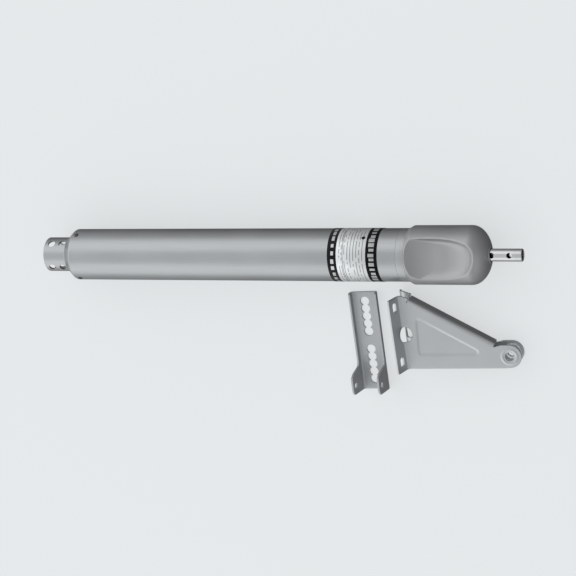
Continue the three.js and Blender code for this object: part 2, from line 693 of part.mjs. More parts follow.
// The flange rises from the cheek's fold. It leans back from square, is slotted at both ends,
// and shares half of the round hole that is punched across the fold.
function foldedFlange(width, lean) {
  const plate = new THREE.Shape();
  plate.moveTo(0, 0);
  plate.lineTo(width - 3, 0);
  plate.quadraticCurveTo(width, 0, width, 3);
  plate.lineTo(width, FOLD_HEIGHT - 3);
  plate.quadraticCurveTo(width, FOLD_HEIGHT, width - 3, FOLD_HEIGHT);
  plate.lineTo(0, FOLD_HEIGHT);
  if (width > 20) {
    const [endR, between] = FLANGE_SLOT;
    for (const y of FLANGE_SLOTS_Y) {
      const slot = new THREE.Path();
      slot.absarc(width / 2 + 1, y - between / 2, endR, Math.PI, 2 * Math.PI, false);
      slot.absarc(width / 2 + 1, y + between / 2, endR, 0, Math.PI, false);
      plate.holes.push(slot);
    }
  }
  const flat = raised(plate, 0, PLATE, 4);
  const halfHole = upright(0, FOLD_HOLE_Y, -2, PLATE + 6, FOLD_HOLE_R, 24);
  const bend = new THREE.Shape();
  const back = radians(lean);
  bend.moveTo(CHEEK_TUCK, -1);
  bend.lineTo(BEND_R, -1);
  bend.lineTo(BEND_R, 0);
  bend.quadraticCurveTo(0, 0, -BEND_R * Math.sin(back), BEND_R * Math.cos(back));
  bend.lineTo(CHEEK_TUCK, BEND_R);
  const fillet = raised(bend, 0, FOLD_HEIGHT, 4).rotate([90, 0, 0]).translate([0, FOLD_HEIGHT, PLATE]);
  return cut(join(flat.rotate([0, -90 - lean, 0]), fillet), halfHole.rotate([0, -90 - lean, 0]))
    .rotate([0, 0, FOLD_LEAN])
    .translate([0, 0, CHEEK_OUT - PLATE]);
}

function triangularBracket() {
  const near = cheekSide(FLANGE_WIDTHS.near, FLANGE_LEAN);
  const far = cheekSide(FLANGE_WIDTHS.far, -FLANGE_LEAN).mirror([0, 0, 1]);
  const [[x0, y0], [x1, y1]] = SLANT;
  const along = Math.atan2(y1 - y0, x1 - x0);
  const length = Math.hypot(x1 - x0, y1 - y0);
  const web = block(0, length, -PLATE, 0, -CHEEK_GAP / 2 - 1, CHEEK_GAP / 2 + 1)
    .rotate([0, 0, THREE.MathUtils.radToDeg(along)])
    .translate([x0, y0, 0]);
  return join(near, far, web);
}

// ---------------------------------------------------------------- assembly

function buildArm() {
  const arm = new THREE.Group();
  arm.add(piece('main_tube', mainTube(), 'tube'));
  RIVET_ANGLES.forEach((angle, i) =>
    arm.add(piece('seat_rivet_' + (i + 1), wallFastener(RIVET_X, angle), 'dark_steel')));
  arm.add(piece('motor_seat', motorSeat(), 'zinc'));
  arm.add(piece('cable_gland', cableGland(), 'rubber'));
  arm.add(piece('label', label(), 'label'));
  arm.add(piece('cap_collar', capCollar(), 'collar'));
  arm.add(piece('end_cap', endCap(), 'cap'));
  CAP_SCREW_ANGLES.forEach((angle, i) =>
    arm.add(piece('cap_screw_' + (i + 1), wallFastener(CAP_SCREW_X, angle), 'steel')));
  arm.add(piece('rod_bush', rodBush(), 'bronze'));
  arm.add(piece('rod_wiper', rodWiper(), 'rubber'));
  arm.add(piece('front_bumper', frontBumper(), 'rubber'));
  arm.add(piece('switch_rail', switchRail(), 'board'));
  arm.add(piece('limit_switch_rear', limitSwitch(SWITCH_RAIL[0] + 2), 'carbon'));
  arm.add(piece('limit_switch_front', limitSwitch(SWITCH_RAIL[1] - 1 - SWITCH_LENGTH), 'carbon'));
  arm.add(...motorPieces(), ...gearboxPieces(), ...drivePieces());
  return arm;
}

function motorPieces() {
  return [
    piece('motor_can', motorCan(), 'dark_steel'),
    piece('motor_plate_rear', endPlate(CAN[0], 1), 'zinc'),
    piece('motor_plate_front', endPlate(CAN[1], -1), 'zinc'),
    piece('shaft_bearing_rear', shaftBearing(CAN[0], 1), 'steel'),
    piece('shaft_bearing_front', shaftBearing(CAN[1], -1), 'steel'),
    piece('magnet_1', magnet(0), 'magnet'),
    piece('magnet_2', magnet(180), 'magnet'),
    piece('brush_holder', brushHolder(), 'acetal'),
    piece('brush_1', brush(1), 'carbon'),
    piece('brush_2', brush(-1), 'carbon'),
    piece('armature_shaft', armatureShaft(), 'steel'),
    piece('armature_core', armatureCore(), 'dark_steel'),
    piece('coil_head_rear', coilHead(COIL_HEADS[0]), 'copper'),
    piece('coil_head_front', coilHead(COIL_HEADS[1]), 'copper'),
    piece('commutator', commutator(), 'copper'),
  ];
}

function gearboxPieces() {
  const pieces = [
    piece('sun_pinion', sunPinion(), 'steel'),
    piece('ring_gear', ringGear(), 'dark_steel'),
    piece('planet_carrier', carrier(), 'zinc'),
    piece('gearbox_cover', gearboxCover(), 'zinc'),
  ];
  PLANET_ANGLES.forEach((angle, i) => {
    const gear = piece('planet_gear_' + (i + 1), planetGear(), 'steel');
    const pin = piece('planet_pin_' + (i + 1), planetPin(), 'steel');
    gear.position.set(...planetPlace(angle));
    pin.position.set(...planetPlace(angle));
    pieces.push(gear, pin);
  });
  return pieces;
}

function drivePieces() {
  return [
    piece('thrust_block', thrustBlock(), 'zinc'),
    piece('thrust_bearing', thrustBearing(), 'steel'),
    piece('thrust_collar', thrustCollar(), 'steel'),
    piece('lead_screw', leadScrew(), 'steel'),
    piece('drive_nut', driveNut(), 'bronze'),
    piece('nut_carriage', carriage(), 'acetal'),
    piece('trip_magnet', tripMagnet(), 'magnet'),
    piece('push_rod', pushRod(), 'chrome'),
  ];
}

const arm = buildArm();
arm.position.z = CAP_R;
arm.rotation.x = -radians(ARM_ROLL);

const slotted = new THREE.Group();
slotted.add(piece('slotted_bracket', slottedBracket(), 'zinc'));
slotted.position.set(...SLOT_PLACE, 0);
slotted.rotation.z = radians(SLOT_TURN);

// The triangular bracket lies on the edge of its far flange and on the far ring of its fork.
const triangular = new THREE.Group();
triangular.add(piece('triangular_bracket', triangularBracket(), 'zinc'));
triangular.position.set(...TRI_PLACE, 0);
triangular.rotation.y = radians(TRI_TILT);
triangular.position.z = -new THREE.Box3().setFromObject(triangular, true).min.z;

const model = new THREE.Group();
model.add(arm, slotted, triangular);
const bounds = new THREE.Box3().setFromObject(model, true);
const middle = bounds.getCenter(new THREE.Vector3());
model.position.set(-middle.x, -middle.y, -bounds.min.z);

export default model;
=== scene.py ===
import json
import math

import bmesh
import bpy
import numpy as np
from mathutils import Matrix, Vector
from mathutils.geometry import delaunay_2d_cdt


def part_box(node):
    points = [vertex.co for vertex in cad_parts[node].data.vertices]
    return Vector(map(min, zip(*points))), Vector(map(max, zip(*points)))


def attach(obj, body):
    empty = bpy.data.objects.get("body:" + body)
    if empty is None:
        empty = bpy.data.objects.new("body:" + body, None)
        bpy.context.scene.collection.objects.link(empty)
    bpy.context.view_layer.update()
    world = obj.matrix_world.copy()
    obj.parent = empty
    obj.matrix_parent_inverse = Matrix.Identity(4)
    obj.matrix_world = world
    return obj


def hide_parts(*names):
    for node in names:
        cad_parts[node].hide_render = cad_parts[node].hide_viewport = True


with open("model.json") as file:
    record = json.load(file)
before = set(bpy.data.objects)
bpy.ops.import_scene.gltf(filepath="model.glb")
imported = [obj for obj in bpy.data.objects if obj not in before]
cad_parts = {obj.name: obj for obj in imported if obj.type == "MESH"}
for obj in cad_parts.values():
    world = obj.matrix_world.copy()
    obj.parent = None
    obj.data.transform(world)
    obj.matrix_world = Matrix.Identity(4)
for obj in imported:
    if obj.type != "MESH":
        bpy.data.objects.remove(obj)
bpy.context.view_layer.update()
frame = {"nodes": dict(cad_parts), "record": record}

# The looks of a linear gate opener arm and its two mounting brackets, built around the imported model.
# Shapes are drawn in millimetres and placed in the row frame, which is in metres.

# ------------------------------------------------------------------------------ sizes

MM = 0.001
GAP = 0.3                           # between neighbouring pieces
ARM_ROLL = math.radians(10)
TUBE_R = 38.0
TUBE_WALL = 2.5
NECK_R = 25.5
NECK_HOLES_X = (11.5, 29.0)
NECK_HOLE_ANGLES = (45, 135, 225, 315)
NECK_HOLE_R = 5.6
SWAGE = (35.4, 48.5)                # where the straight cone would meet the neck and the tube
TUBE_END = 563.0
INNER_R = 35.1

RIVET_X = 56.0
RIVET_ANGLES = (55, 175, 295)
CAP_SCREW_X = 557.0
CAP_SCREW_ANGLES = (140, 230)
HEAD_HEIGHT = 1.4                   # of rivets and screws over the tube
HEAD_R = 3.6
SHANK_R = 2.0
SHANK_START = TUBE_R - 5.5
SHANK_END = TUBE_R + 0.15
SEAT = (52.8, 59.2)
SEAT_RING = (16.0, 31.0)            # radii of the ring that is sunk into the seat
SEAT_SUNK = 0.8
GLAND_START = 42.0
GLAND_R = 7.0
GLAND_BORE_R = 3.5
GLAND_NUT = 6.0                     # the nut's thickness
GLAND_NUT_R = 11.0

LABEL = (461.5, 536.0)
LABEL_SPAN = math.radians(300)

CAP_R = 42.0
CAP_SPIGOT = 549.0
CAP_RIM = 575.0
CAP_SHOULDER = 581.5
DOME_START = 664.5
DOME_TIP = 692.0
DOME_MOUTH_R = 11.5
DOME_LIP = 0.8                      # how far the mouth's flat lip stands out of the dome
RECESS_START = CAP_RIM - 2.5
RECESS_LENGTH = 107.5
RECESS_HALF_WIDTH = 29.0
RECESS_LOWER = 1.5                  # how much wider the scoop is on its lower side
RECESS_FLOOR = 23.0
RECESS_BEND = 26.0                  # radius of the scoop's sides, before they are made steeper or softer
RECESS_SLOPES = (0.55, 2.3, 1.0)    # how steep its ends, its upper side and its lower side are
BUSH_END = 648.0
BUSH_R = 12.6
BUSH_STOP = 10.0                    # how far the cap's bore goes on behind the bush
THROAT = (562.0, 566.0)             # where the cap's spigot narrows down to the bush
THROAT_R = 31.0

ROD_R = 9.0
ROD_BORE_R = 6.7
ROD_START = 236.5
ROD_END = 737.0
ROD_HOLES_X = (694.0, 719.5)
ROD_HOLE_R = 4.0

PLATE = 3.0

SLOT_WEB = (43.0, 150.0)
SLOT_LIP = 11.0
SLOT_EAR = (34.0, 46.0)
SLOT_EAR_HOLE = (16.0, 34.0)
SLOT_EAR_HOLE_R = 4.5
SLOT_HOLE_R = 6.6
SLOT_HOLE_PITCH = 11.6
SLOT_HOLES = 5
SLOT_STARTS = (8.0, 81.5)
SLOT_TURN = math.radians(2.2)
SLOT_BEND_R = 4.0                   # to the middle of the plate
WEB_DISH = 0.45                     # how deep the web's face is hollowed

CHEEK_GAP = 19.0
CHEEK_MIDDLE = (CHEEK_GAP + PLATE) / 2
FOLD_HEIGHT = 111.0
FOLD_LEAN = math.radians(3)
FLANGE_LEAN = math.radians(19)
FLANGE_WIDTHS = {"near": 29.0, "far": 14.0}
FLANGE_SLOTS_T = (15.0, 97.0)
FLANGE_SLOT_S = 15.5                # from the flange's root to the slots' middle line
FLANGE_BEND_R = 7.5
STRIP_BEND_R = 4.0
FORK_HOLE = (147.5, 17.5)
FORK_R = 17.0
FORK_HOLE_R = 6.5
SLANT = ((6.0, 106.0), (127.0, 36.4))
FOLD_HOLE_T = 52.0
FOLD_HOLE_R = 11.5
PRESSED = ((16.0, 21.0), (113.0, 21.0), (16.0, 78.0))
TRI_TILT = math.radians(4.8)

# ------------------------------------------------------------------------------ places

TUBE_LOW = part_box("main_tube")[0]
CAP_LOW, CAP_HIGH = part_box("end_cap")
AXIS = Vector((0, (CAP_LOW.y + CAP_HIGH.y) / 2, (CAP_LOW.z + CAP_HIGH.z) / 2))
ARM = (
    Matrix.Translation((TUBE_LOW.x, AXIS.y, AXIS.z))
    @ Matrix.Rotation(-ARM_ROLL, 4, "X")
    @ Matrix.Scale(MM, 4)
)


def radial(x, angle):
    """The place of a piece whose own X axis points away from the arm's axis."""
    turn = Matrix.Rotation(-math.radians(angle), 4, "X") @ Matrix.Rotation(-math.pi / 2, 4, "Y")
    return ARM @ Matrix.Translation((x, 0, 0)) @ turn


# ------------------------------------------------------------------------------ camera, floor, light

VIEW_BACK = Vector((0.37, 0.28, 0.8858)).normalized()
VIEW_DISTANCE = 2.9
VIEW_LENS = 125.2
VIEW_AIM_X = 0.0192
VIEW_DROP = 0.04835                 # how far the view's middle lies under the arm's axis
VIEW_ROLL = math.radians(0.5)


def make_camera():
    right = (Vector((1, 0, 0)) - VIEW_BACK * VIEW_BACK.x).normalized()
    up = VIEW_BACK.cross(right)
    aim = Vector((VIEW_AIM_X, AXIS.y, AXIS.z)) - up * VIEW_DROP
    roll = Matrix.Rotation(VIEW_ROLL, 3, VIEW_BACK)
    data = bpy.data.cameras.new("camera")
    data.lens = VIEW_LENS
    data.sensor_width = 36
    camera = bpy.data.objects.new("camera", data)
    bpy.context.scene.collection.objects.link(camera)
    place = (roll @ Matrix((right, up, VIEW_BACK)).transposed()).to_4x4()
    place.translation = aim + VIEW_BACK * VIEW_DISTANCE
    camera.matrix_world = place
    bpy.context.scene.camera = camera


LIGHT_DISTANCE = 1.9


def softbox(name, direction, size, power):
    data = bpy.data.lights.new(name, "AREA")
    data.shape = "RECTANGLE"
    data.size, data.size_y = size
    data.energy = power
    light = bpy.data.objects.new(name, data)
    bpy.context.scene.collection.objects.link(light)
    towards = Vector(direction).normalized()
    light.location = AXIS + towards * LIGHT_DISTANCE
    light.rotation_euler = towards.to_track_quat("Z", "Y").to_euler()


def make_lights():
    softbox("light_back", (-0.30, 0.85, 0.48), (2.6, 1.7), 7.0)
    softbox("light_front", (-0.30, -0.80, 0.50), (2.6, 1.8), 7.5)
    softbox("light_side", (0.90, -0.30, 0.20), (1.6, 1.0), 1.6)


SKY = (                             # the studio's grey at each height, from straight down to straight up
    (-1.0, 0.10), (-0.88, 0.13), (-0.78, 0.20), (-0.49, 0.38), (-0.2, 0.50), (0.0, 0.62), (0.3, 0.70),
    (1.0, 0.80),
)
SIDES = ((-1.0, 1.9), (-0.37, 1.0), (0.9, 0.68))    # how much of that grey there is along X


def make_world():
    """A soft grey studio that darkens towards the floor and towards the rod's end."""
    world = bpy.data.worlds.new("studio")
    bpy.context.scene.world = world
    world.use_nodes = True
    tree = world.node_tree
    tree.nodes.clear()
    coords = tree.nodes.new("ShaderNodeTexCoord")
    parts = tree.nodes.new("ShaderNodeSeparateXYZ")
    height = tree.nodes.new("ShaderNodeMapRange")
    side = tree.nodes.new("ShaderNodeFloatCurve")
    ramp = tree.nodes.new("ShaderNodeValToRGB")
    shade = tree.nodes.new("ShaderNodeBackground")
    out = tree.nodes.new("ShaderNodeOutputWorld")
    tree.links.new(coords.outputs["Generated"], parts.inputs[0])
    tree.links.new(parts.outputs["Z"], height.inputs["Value"])
    height.inputs["From Min"].default_value = -1
    tree.links.new(height.outputs[0], ramp.inputs[0])
    tree.links.new(parts.outputs["X"], side.inputs["Value"])
    side.mapping.use_clip = False
    curve = side.mapping.curves[0]
    while len(curve.points) < len(SIDES):
        curve.points.new(0, 1)
    for point, place in zip(curve.points, SIDES):
        point.location = place
        point.handle_type = "VECTOR"
    side.mapping.update()
    tree.links.new(ramp.outputs[0], shade.inputs["Color"])
    tree.links.new(side.outputs[0], shade.inputs["Strength"])
    tree.links.new(shade.outputs[0], out.inputs[0])
    steps = ramp.color_ramp.elements
    while len(steps) < len(SKY):
        steps.new(0.5)
    for step, (z, grey) in zip(steps, SKY):
        step.position = (z + 1) / 2
        step.color = (grey * 0.985, grey, grey * 1.01, 1)


FLOOR_SIZE = 40.0
FLOOR_COLOR = (0.24, 0.25, 0.255)
FLOOR_GLOW = 0.595


def make_floor():
    """A plain pale floor. It stays out of the pieces' reflections, as a floor between black flags does."""
    half = FLOOR_SIZE / 2
    mesh = bpy.data.meshes.new("floor")
    corners = [(-half, -half, 0), (half, -half, 0), (half, half, 0), (-half, half, 0)]
    mesh.from_pydata(corners, [], [(0, 1, 2, 3)])
    floor = bpy.data.objects.new("floor", mesh)
    bpy.context.scene.collection.objects.link(floor)
    material = bpy.data.materials.new("floor")
    material.use_nodes = True
    shader = material.node_tree.nodes["Principled BSDF"]
    shader.inputs["Base Color"].default_value = (*FLOOR_COLOR, 1)
    shader.inputs["Roughness"].default_value = 0.9
    shader.inputs["Specular IOR Level"].default_value = 0.0
    shader.inputs["Emission Color"].default_value = (0.965, 0.99, 1.0, 1)
    shader.inputs["Emission Strength"].default_value = FLOOR_GLOW
    mesh.materials.append(material)
    floor.visible_glossy = False
    floor.visible_diffuse = False


# ------------------------------------------------------------------------------ materials


class Look:
    """A material's nodes, with short calls for what the looks share."""

    def __init__(self, name, **sockets):
        self.material = bpy.data.materials.new(name)
        self.material.use_nodes = True
        self.tree = self.material.node_tree
        self.shader = self.tree.nodes["Principled BSDF"]
        for socket, value in sockets.items():
            self.shader.inputs[socket.replace("_", " ")].default_value = value
        self.place = self.put("ShaderNodeTexCoord").outputs["Object"]

    def put(self, kind, inputs=(), **settings):
        node = self.tree.nodes.new(kind)
        for setting, value in settings.items():
            setattr(node, setting, value)
        for key, value in dict(inputs).items():
            self.set(node.inputs[key], value)
        return node

    def set(self, socket, value):
        if isinstance(value, bpy.types.NodeSocket):
            self.tree.links.new(value, socket)
        else:
            socket.default_value = value

    def math(self, operation, a, b=0.0):
        return self.put("ShaderNodeMath", {0: a, 1: b}, operation=operation).outputs[0]

    def noise(self, scale, stretch=(1, 1, 1), detail=2.0, place=None):
        moved = self.put("ShaderNodeMapping", {"Vector": place or self.place, "Scale": stretch})
        sockets = {"Vector": moved.outputs[0], "Scale": scale, "Detail": detail}
        return self.put("ShaderNodeTexNoise", sockets).outputs["Fac"]

    def range(self, value, low, high, to_low=0.0, to_high=1.0):
        sockets = {0: value, 1: low, 2: high, 3: to_low, 4: to_high}
        return self.put("ShaderNodeMapRange", sockets).outputs[0]

    def mix(self, share, a, b):
        """A colour between a and b, which are colours of three numbers or colour outputs."""
        a, b = ((*c, 1) if isinstance(c, tuple) else c for c in (a, b))
        node = self.put("ShaderNodeMix", data_type="RGBA")
        self.set(node.inputs["Factor"], share)
        self.set(node.inputs[6], a)
        self.set(node.inputs[7], b)
        return node.outputs[2]

    def color(self, value):
        self.set(self.shader.inputs["Base Color"], (*value, 1) if isinstance(value, tuple) else value)

    def roughness(self, value):
        self.set(self.shader.inputs["Roughness"], value)

    def bump(self, height, strength, distance):
        sockets = {"Height": height, "Strength": strength, "Distance": distance}
        self.set(self.shader.inputs["Normal"], self.put("ShaderNodeBump", sockets).outputs[0])

    def wear(self, color, worn, strength=0.6):
        """Edges rubbed towards a worn colour."""
        edge = self.put("ShaderNodeNewGeometry").outputs["Pointiness"]
        patchy = self.range(self.noise(220, detail=4), 0.35, 0.7)
        share = self.math("MULTIPLY", self.range(edge, 0.52, 0.62, 0, strength), patchy)
        return self.mix(share, color, worn)


def tint(color, factor):
    return tuple(min(c * factor, 1.0) for c in color)


def satin_metal(name, color, rough, stretch, grain=1.0, metallic=1.0):
    """Plated or lacquered steel: drawn grain along one direction, faint clouds and a fine tooth."""
    look = Look(name, Metallic=metallic)
    clouds = look.noise(16, detail=3)
    lines = look.noise(700, stretch, detail=3)
    tooth = look.noise(1900, detail=1)
    shade = look.mix(look.range(clouds, 0.3, 0.7), tint(color, 0.96), tint(color, 1.03))
    shade = look.mix(look.range(lines, 0.35, 0.75, 0, 0.35 * grain), shade, tint(color, 0.86))
    look.color(look.wear(shade, tint(color, 1.15), 0.5))
    smudge = look.range(clouds, 0.3, 0.7, rough - 0.03, rough + 0.04)
    look.roughness(look.math("ADD", smudge, look.range(lines, 0.3, 0.7, -0.03 * grain, 0.03 * grain)))
    height = look.math("ADD", look.math("MULTIPLY", lines, 0.6 * grain), look.math("MULTIPLY", tooth, 0.4))
    look.bump(height, 0.12, 0.0003)
    return look.material


def grained_cap():
    """Satin grey coating on a casting: a fine, even grain, a little polished along its edges."""
    base = (0.40, 0.403, 0.406)
    look = Look("grained_grey", Metallic=0.9)
    clouds = look.noise(22, detail=4)
    grain = look.noise(1500, detail=2)
    shade = look.mix(look.range(clouds, 0.3, 0.7), tint(base, 0.95), tint(base, 1.05))
    shade = look.mix(look.range(grain, 0.4, 0.7, 0, 0.25), shade, tint(base, 0.84))
    look.color(look.wear(shade, tint(base, 1.4), 0.6))
    look.roughness(look.range(clouds, 0.3, 0.7, 0.42, 0.49))
    look.bump(grain, 0.18, 0.0003)
    return look.material


def moulded(name, color, rough, grain=1200, strength=0.15, sheen=0.0):
    """Moulded plastic or rubber: a fine moulded grain and slight flow marks."""
    look = Look(name)
    look.shader.inputs["Sheen Weight"].default_value = sheen
    flow = look.noise(30, (1, 2.5, 1), detail=3)
    fine = look.noise(grain, detail=2)
    shade = look.mix(look.range(flow, 0.3, 0.7), tint(color, 0.92), tint(color, 1.05))
    look.color(look.wear(shade, tint(color, 1.4), 0.4))
    look.roughness(look.range(flow, 0.3, 0.7, rough - 0.04, rough + 0.05))
    look.bump(fine, strength, 0.0003)
    return look.material


def chrome():
    """Hard chrome, polished round the rod, with faint rings and a film of grease."""
    look = Look("hard_chrome", Metallic=1.0)
    rings = look.noise(900, (6, 0.1, 0.1), detail=2)
    film = look.noise(35, detail=4)
    look.color(look.mix(look.range(film, 0.4, 0.75), (0.62, 0.632, 0.638), (0.52, 0.53, 0.532)))
    shine = look.range(film, 0.35, 0.75, 0.14, 0.22)
    look.roughness(look.math("ADD", shine, look.range(rings, 0.4, 0.7, 0.0, 0.04)))
    look.bump(rings, 0.04, 0.0002)
    return look.material


def turned_metal(name, color, rough, metallic=1.0):
    """Turned or ground metal with fine tool rings across the arm's axis."""
    return satin_metal(name, color, rough, (8, 0.15, 0.15), metallic=metallic)


def wound_copper():
    """Enamelled copper windings: close strands with dark gaps between them."""
    look = Look("wound_copper", Metallic=0.8)
    strands = look.put("ShaderNodeTexWave", {"Vector": look.place, "Scale": 900.0, "Distortion": 3.0})
    tone = strands.outputs["Fac"]
    look.color(look.mix(tone, (0.16, 0.05, 0.02), (0.60, 0.24, 0.09)))
    look.roughness(look.range(tone, 0, 1, 0.5, 0.3))
    look.bump(tone, 0.4, 0.0003)
    return look.material


def sintered(name, color):
    """Sintered ferrite or pressed carbon: matt, open-pored and faintly speckled."""
    look = Look(name, Metallic=0.1)
    pores = look.put("ShaderNodeTexVoronoi", {"Vector": look.place, "Scale": 1400.0}).outputs["Distance"]
    look.color(look.mix(look.range(pores, 0.0, 0.5), tint(color, 0.6), tint(color, 1.2)))
    look.roughness(look.range(pores, 0.0, 0.5, 0.9, 0.65))
    look.bump(pores, 0.3, 0.0003)
    return look.material


LABEL_WHITE = (0.70, 0.715, 0.72)
LABEL_BLACK = (0.006, 0.006, 0.007)
LABEL_GREY = (0.13, 0.135, 0.14)
LABEL_BANDS = ((0.0, 13.5), (57.5, 74.5))
LABEL_BLOCKS = ((3.6, 9.4, 11.0), (60.8, 69.8, 7.2))    # a row of plain blocks: from, to, pitch
LABEL_BLOCK_SPREAD = (0.35, 0.3, 2.6)                   # how uneven their two ends and their widths are
LABEL_RULES = (17.4, 20.8, 24.9, 29.6, 33.9, 38.4, 42.9, 47.4, 51.9)
LABEL_RULE_WIDTH = 1.1
LABEL_RULE_BREAKS = 0.30                                # share of the rules that is left blank
LABEL_LINE = (22.6, 23.5)                               # one rule without breaks
LABEL_MARK = (52.2, 30.0, 3.6)                          # a small diamond: across, along, half its width


def printed_label():
    """A printed film: two dark end bands with plain light blocks, and broken grey rules between."""
    look = Look("printed_label", Metallic=0.75, Specular_IOR_Level=0.25)
    parts = look.put("ShaderNodeSeparateXYZ", {0: look.put("ShaderNodeTexCoord").outputs["UV"]})
    across, along = parts.outputs["X"], parts.outputs["Y"]

    def within(value, low, high):
        over = look.math("GREATER_THAN", value, low)
        return look.math("MULTIPLY", over, look.math("LESS_THAN", value, high))

    def chance(value, seed):
        return look.put("ShaderNodeTexWhiteNoise", {1: look.math("ADD", value, seed)},
                        noise_dimensions="1D").outputs["Value"]

    shade = LABEL_WHITE
    for number, rule in enumerate(LABEL_RULES):
        word = look.math("FLOOR", look.math("DIVIDE", along, 3.1 + 0.7 * (number % 3)))
        ink = look.math("GREATER_THAN", chance(word, 17.3 * number), LABEL_RULE_BREAKS)
        ink = look.math("MULTIPLY", ink, within(across, rule, rule + LABEL_RULE_WIDTH))
        shade = look.mix(look.math("MULTIPLY", ink, 0.75), shade, LABEL_GREY)
    shade = look.mix(look.math("MULTIPLY", within(across, *LABEL_LINE), 0.85), shade, LABEL_GREY)
    from_mark = [look.math("ABSOLUTE", look.math("SUBTRACT", across, LABEL_MARK[0])),
                 look.math("ABSOLUTE", look.math("SUBTRACT", along, LABEL_MARK[1]))]
    mark = look.math("LESS_THAN", look.math("ADD", *from_mark), LABEL_MARK[2])
    shade = look.mix(mark, shade, LABEL_BLACK)
    first_spread, last_spread, side_spread = LABEL_BLOCK_SPREAD
    for (low, high), (start, end, pitch) in zip(LABEL_BANDS, LABEL_BLOCKS):
        shade = look.mix(within(across, low, high), shade, LABEL_BLACK)
        cell = look.math("DIVIDE", along, pitch)
        number = look.math("FLOOR", cell)
        first = look.math("MULTIPLY", chance(number, start), first_spread)
        last = look.math("SUBTRACT", 1.0, look.math("MULTIPLY", chance(number, end), last_spread))
        block = within(look.math("FRACT", cell), first, last)
        side = look.math("MULTIPLY", chance(number, 0.37 + end), side_spread)
        block = look.math("MULTIPLY", block, within(across, look.math("ADD", start, side), end))
        shade = look.mix(look.math("MULTIPLY", block, 0.75), shade, LABEL_WHITE)
    handled = look.noise(40, detail=4)
    look.color(look.mix(look.range(handled, 0.45, 0.8, 0, 0.12), shade, LABEL_GREY))
    look.roughness(look.range(handled, 0.3, 0.8, 0.34, 0.5))
    look.bump(look.noise(500, detail=2), 0.05, 0.0003)
    return look.material


def make_materials():
    return {
        "tube": satin_metal("satin_tube", (0.42, 0.432, 0.438), 0.36, (0.02, 1, 1), 0.8),
        "cap": grained_cap(),
        "collar": satin_metal("turned_collar", (0.42, 0.43, 0.434), 0.39, (8, 0.15, 0.15), 0.5),
        "chrome": chrome(),
        "bracket": satin_metal("satin_bracket", (0.52, 0.535, 0.542), 0.42, (1, 1, 1), 0.6),
        "channel": satin_metal("satin_channel", (0.45, 0.463, 0.47), 0.45, (1, 1, 1), 0.6, metallic=0.6),
        "zinc": satin_metal("die_cast_zinc", (0.50, 0.515, 0.52), 0.48, (1, 1, 1), 0.7),
        "steel": turned_metal("turned_steel", (0.50, 0.51, 0.515), 0.34),
        # dark_steel is phosphated steel for the parts whose slot it is. On the rivet heads its dark colour
        # is painted shade, standing in for the shade that falls on each head.
        "dark_steel": satin_metal("phosphated_steel_and_painted_shade", (0.12, 0.122, 0.125), 0.5, (1, 1, 1)),
        "magnet": sintered("ferrite", (0.030, 0.030, 0.032)),
        "copper": wound_copper(),
        "bronze": turned_metal("turned_bronze", (0.48, 0.34, 0.15), 0.36),
        "carbon": sintered("pressed_carbon", (0.02, 0.02, 0.021)),
        "acetal": moulded("natural_acetal", (0.72, 0.71, 0.67), 0.45),
        "switch": moulded("black_moulding", (0.02, 0.02, 0.022), 0.35),
        "rubber": moulded("moulded_rubber", (0.016, 0.016, 0.017), 0.75, 900, 0.3, sheen=0.1),
        "board": moulded("glass_filled_board", (0.03, 0.16, 0.07), 0.5),
        "label": printed_label(),
    }


# ------------------------------------------------------------------------------ outlines and meshes


def rounded(corners, step=15, closed=True):
    """A line of points through corners (x, y, radius), with each corner rounded."""
    points = []
    count = len(corners)
    for i, (x, y, radius) in enumerate(corners):
        corner = np.array((x, y), float)
        if radius == 0 or (not closed and i in (0, count - 1)):
            points.append(corner)
            continue
        back = np.array(corners[i - 1][:2]) - corner
        on = np.array(corners[(i + 1) % count][:2]) - corner
        back_length, on_length = np.linalg.norm(back), np.linalg.norm(on)
        back, on = back / back_length, on / on_length
        half = math.acos(np.clip(back @ on, -1, 1)) / 2
        reach = min(radius / math.tan(half), 0.49 * back_length, 0.49 * on_length)
        middle = (back + on) / np.linalg.norm(back + on)
        centre = corner + middle * reach / math.cos(half)
        start = corner + back * reach - centre
        end = corner + on * reach - centre
        turn = math.atan2(start[0] * end[1] - start[1] * end[0], start @ end)
        steps = max(2, math.ceil(abs(math.degrees(turn)) / step))
        for k in range(steps + 1):
            c, s = math.cos(turn * k / steps), math.sin(turn * k / steps)
            points.append(centre + (c * start[0] - s * start[1], s * start[0] + c * start[1]))
    return points


def arc(centre, radius, start, end, steps):
    """Points on a circle from one angle to another, in degrees."""
    angles = np.radians(np.linspace(start, end, steps + 1))
    return [np.array(centre) + radius * np.array((math.cos(a), math.sin(a))) for a in angles]


def filled_in(loop, step):
    """A closed loop with points added so that no side is longer than step."""
    points = []
    for i, point in enumerate(loop):
        following = loop[(i + 1) % len(loop)]
        parts = max(1, math.ceil(np.linalg.norm(following - point) / step))
        points += [point + (following - point) * k / parts for k in range(parts)]
    return np.array(points)


def mesh_object(name, vertices, faces, place, sharp=35, uvs=None):
    """An object with its mesh in the row frame, faces out, smooth but for its sharp edges."""
    mesh = bpy.data.meshes.new(name)
    mesh.from_pydata([tuple(v) for v in vertices], [], [tuple(map(int, f)) for f in faces])
    if uvs is not None:
        layer = mesh.uv_layers.new(name="UVMap")
        for loop in mesh.loops:
            layer.data[loop.index].uv = uvs[loop.vertex_index]
    work = bmesh.new()
    work.from_mesh(mesh)
    bmesh.ops.remove_doubles(work, verts=work.verts, dist=1e-4)
    bmesh.ops.recalc_face_normals(work, faces=work.faces)
    work.to_mesh(mesh)
    work.free()
    mesh.transform(place)
    made = bpy.data.objects.new(name, mesh)
    bpy.context.scene.collection.objects.link(made)
    smooth(made, sharp)
    return made


def smooth(made, sharp):
    made.data.shade_smooth()
    made.data.set_sharp_from_angle(angle=math.radians(sharp))


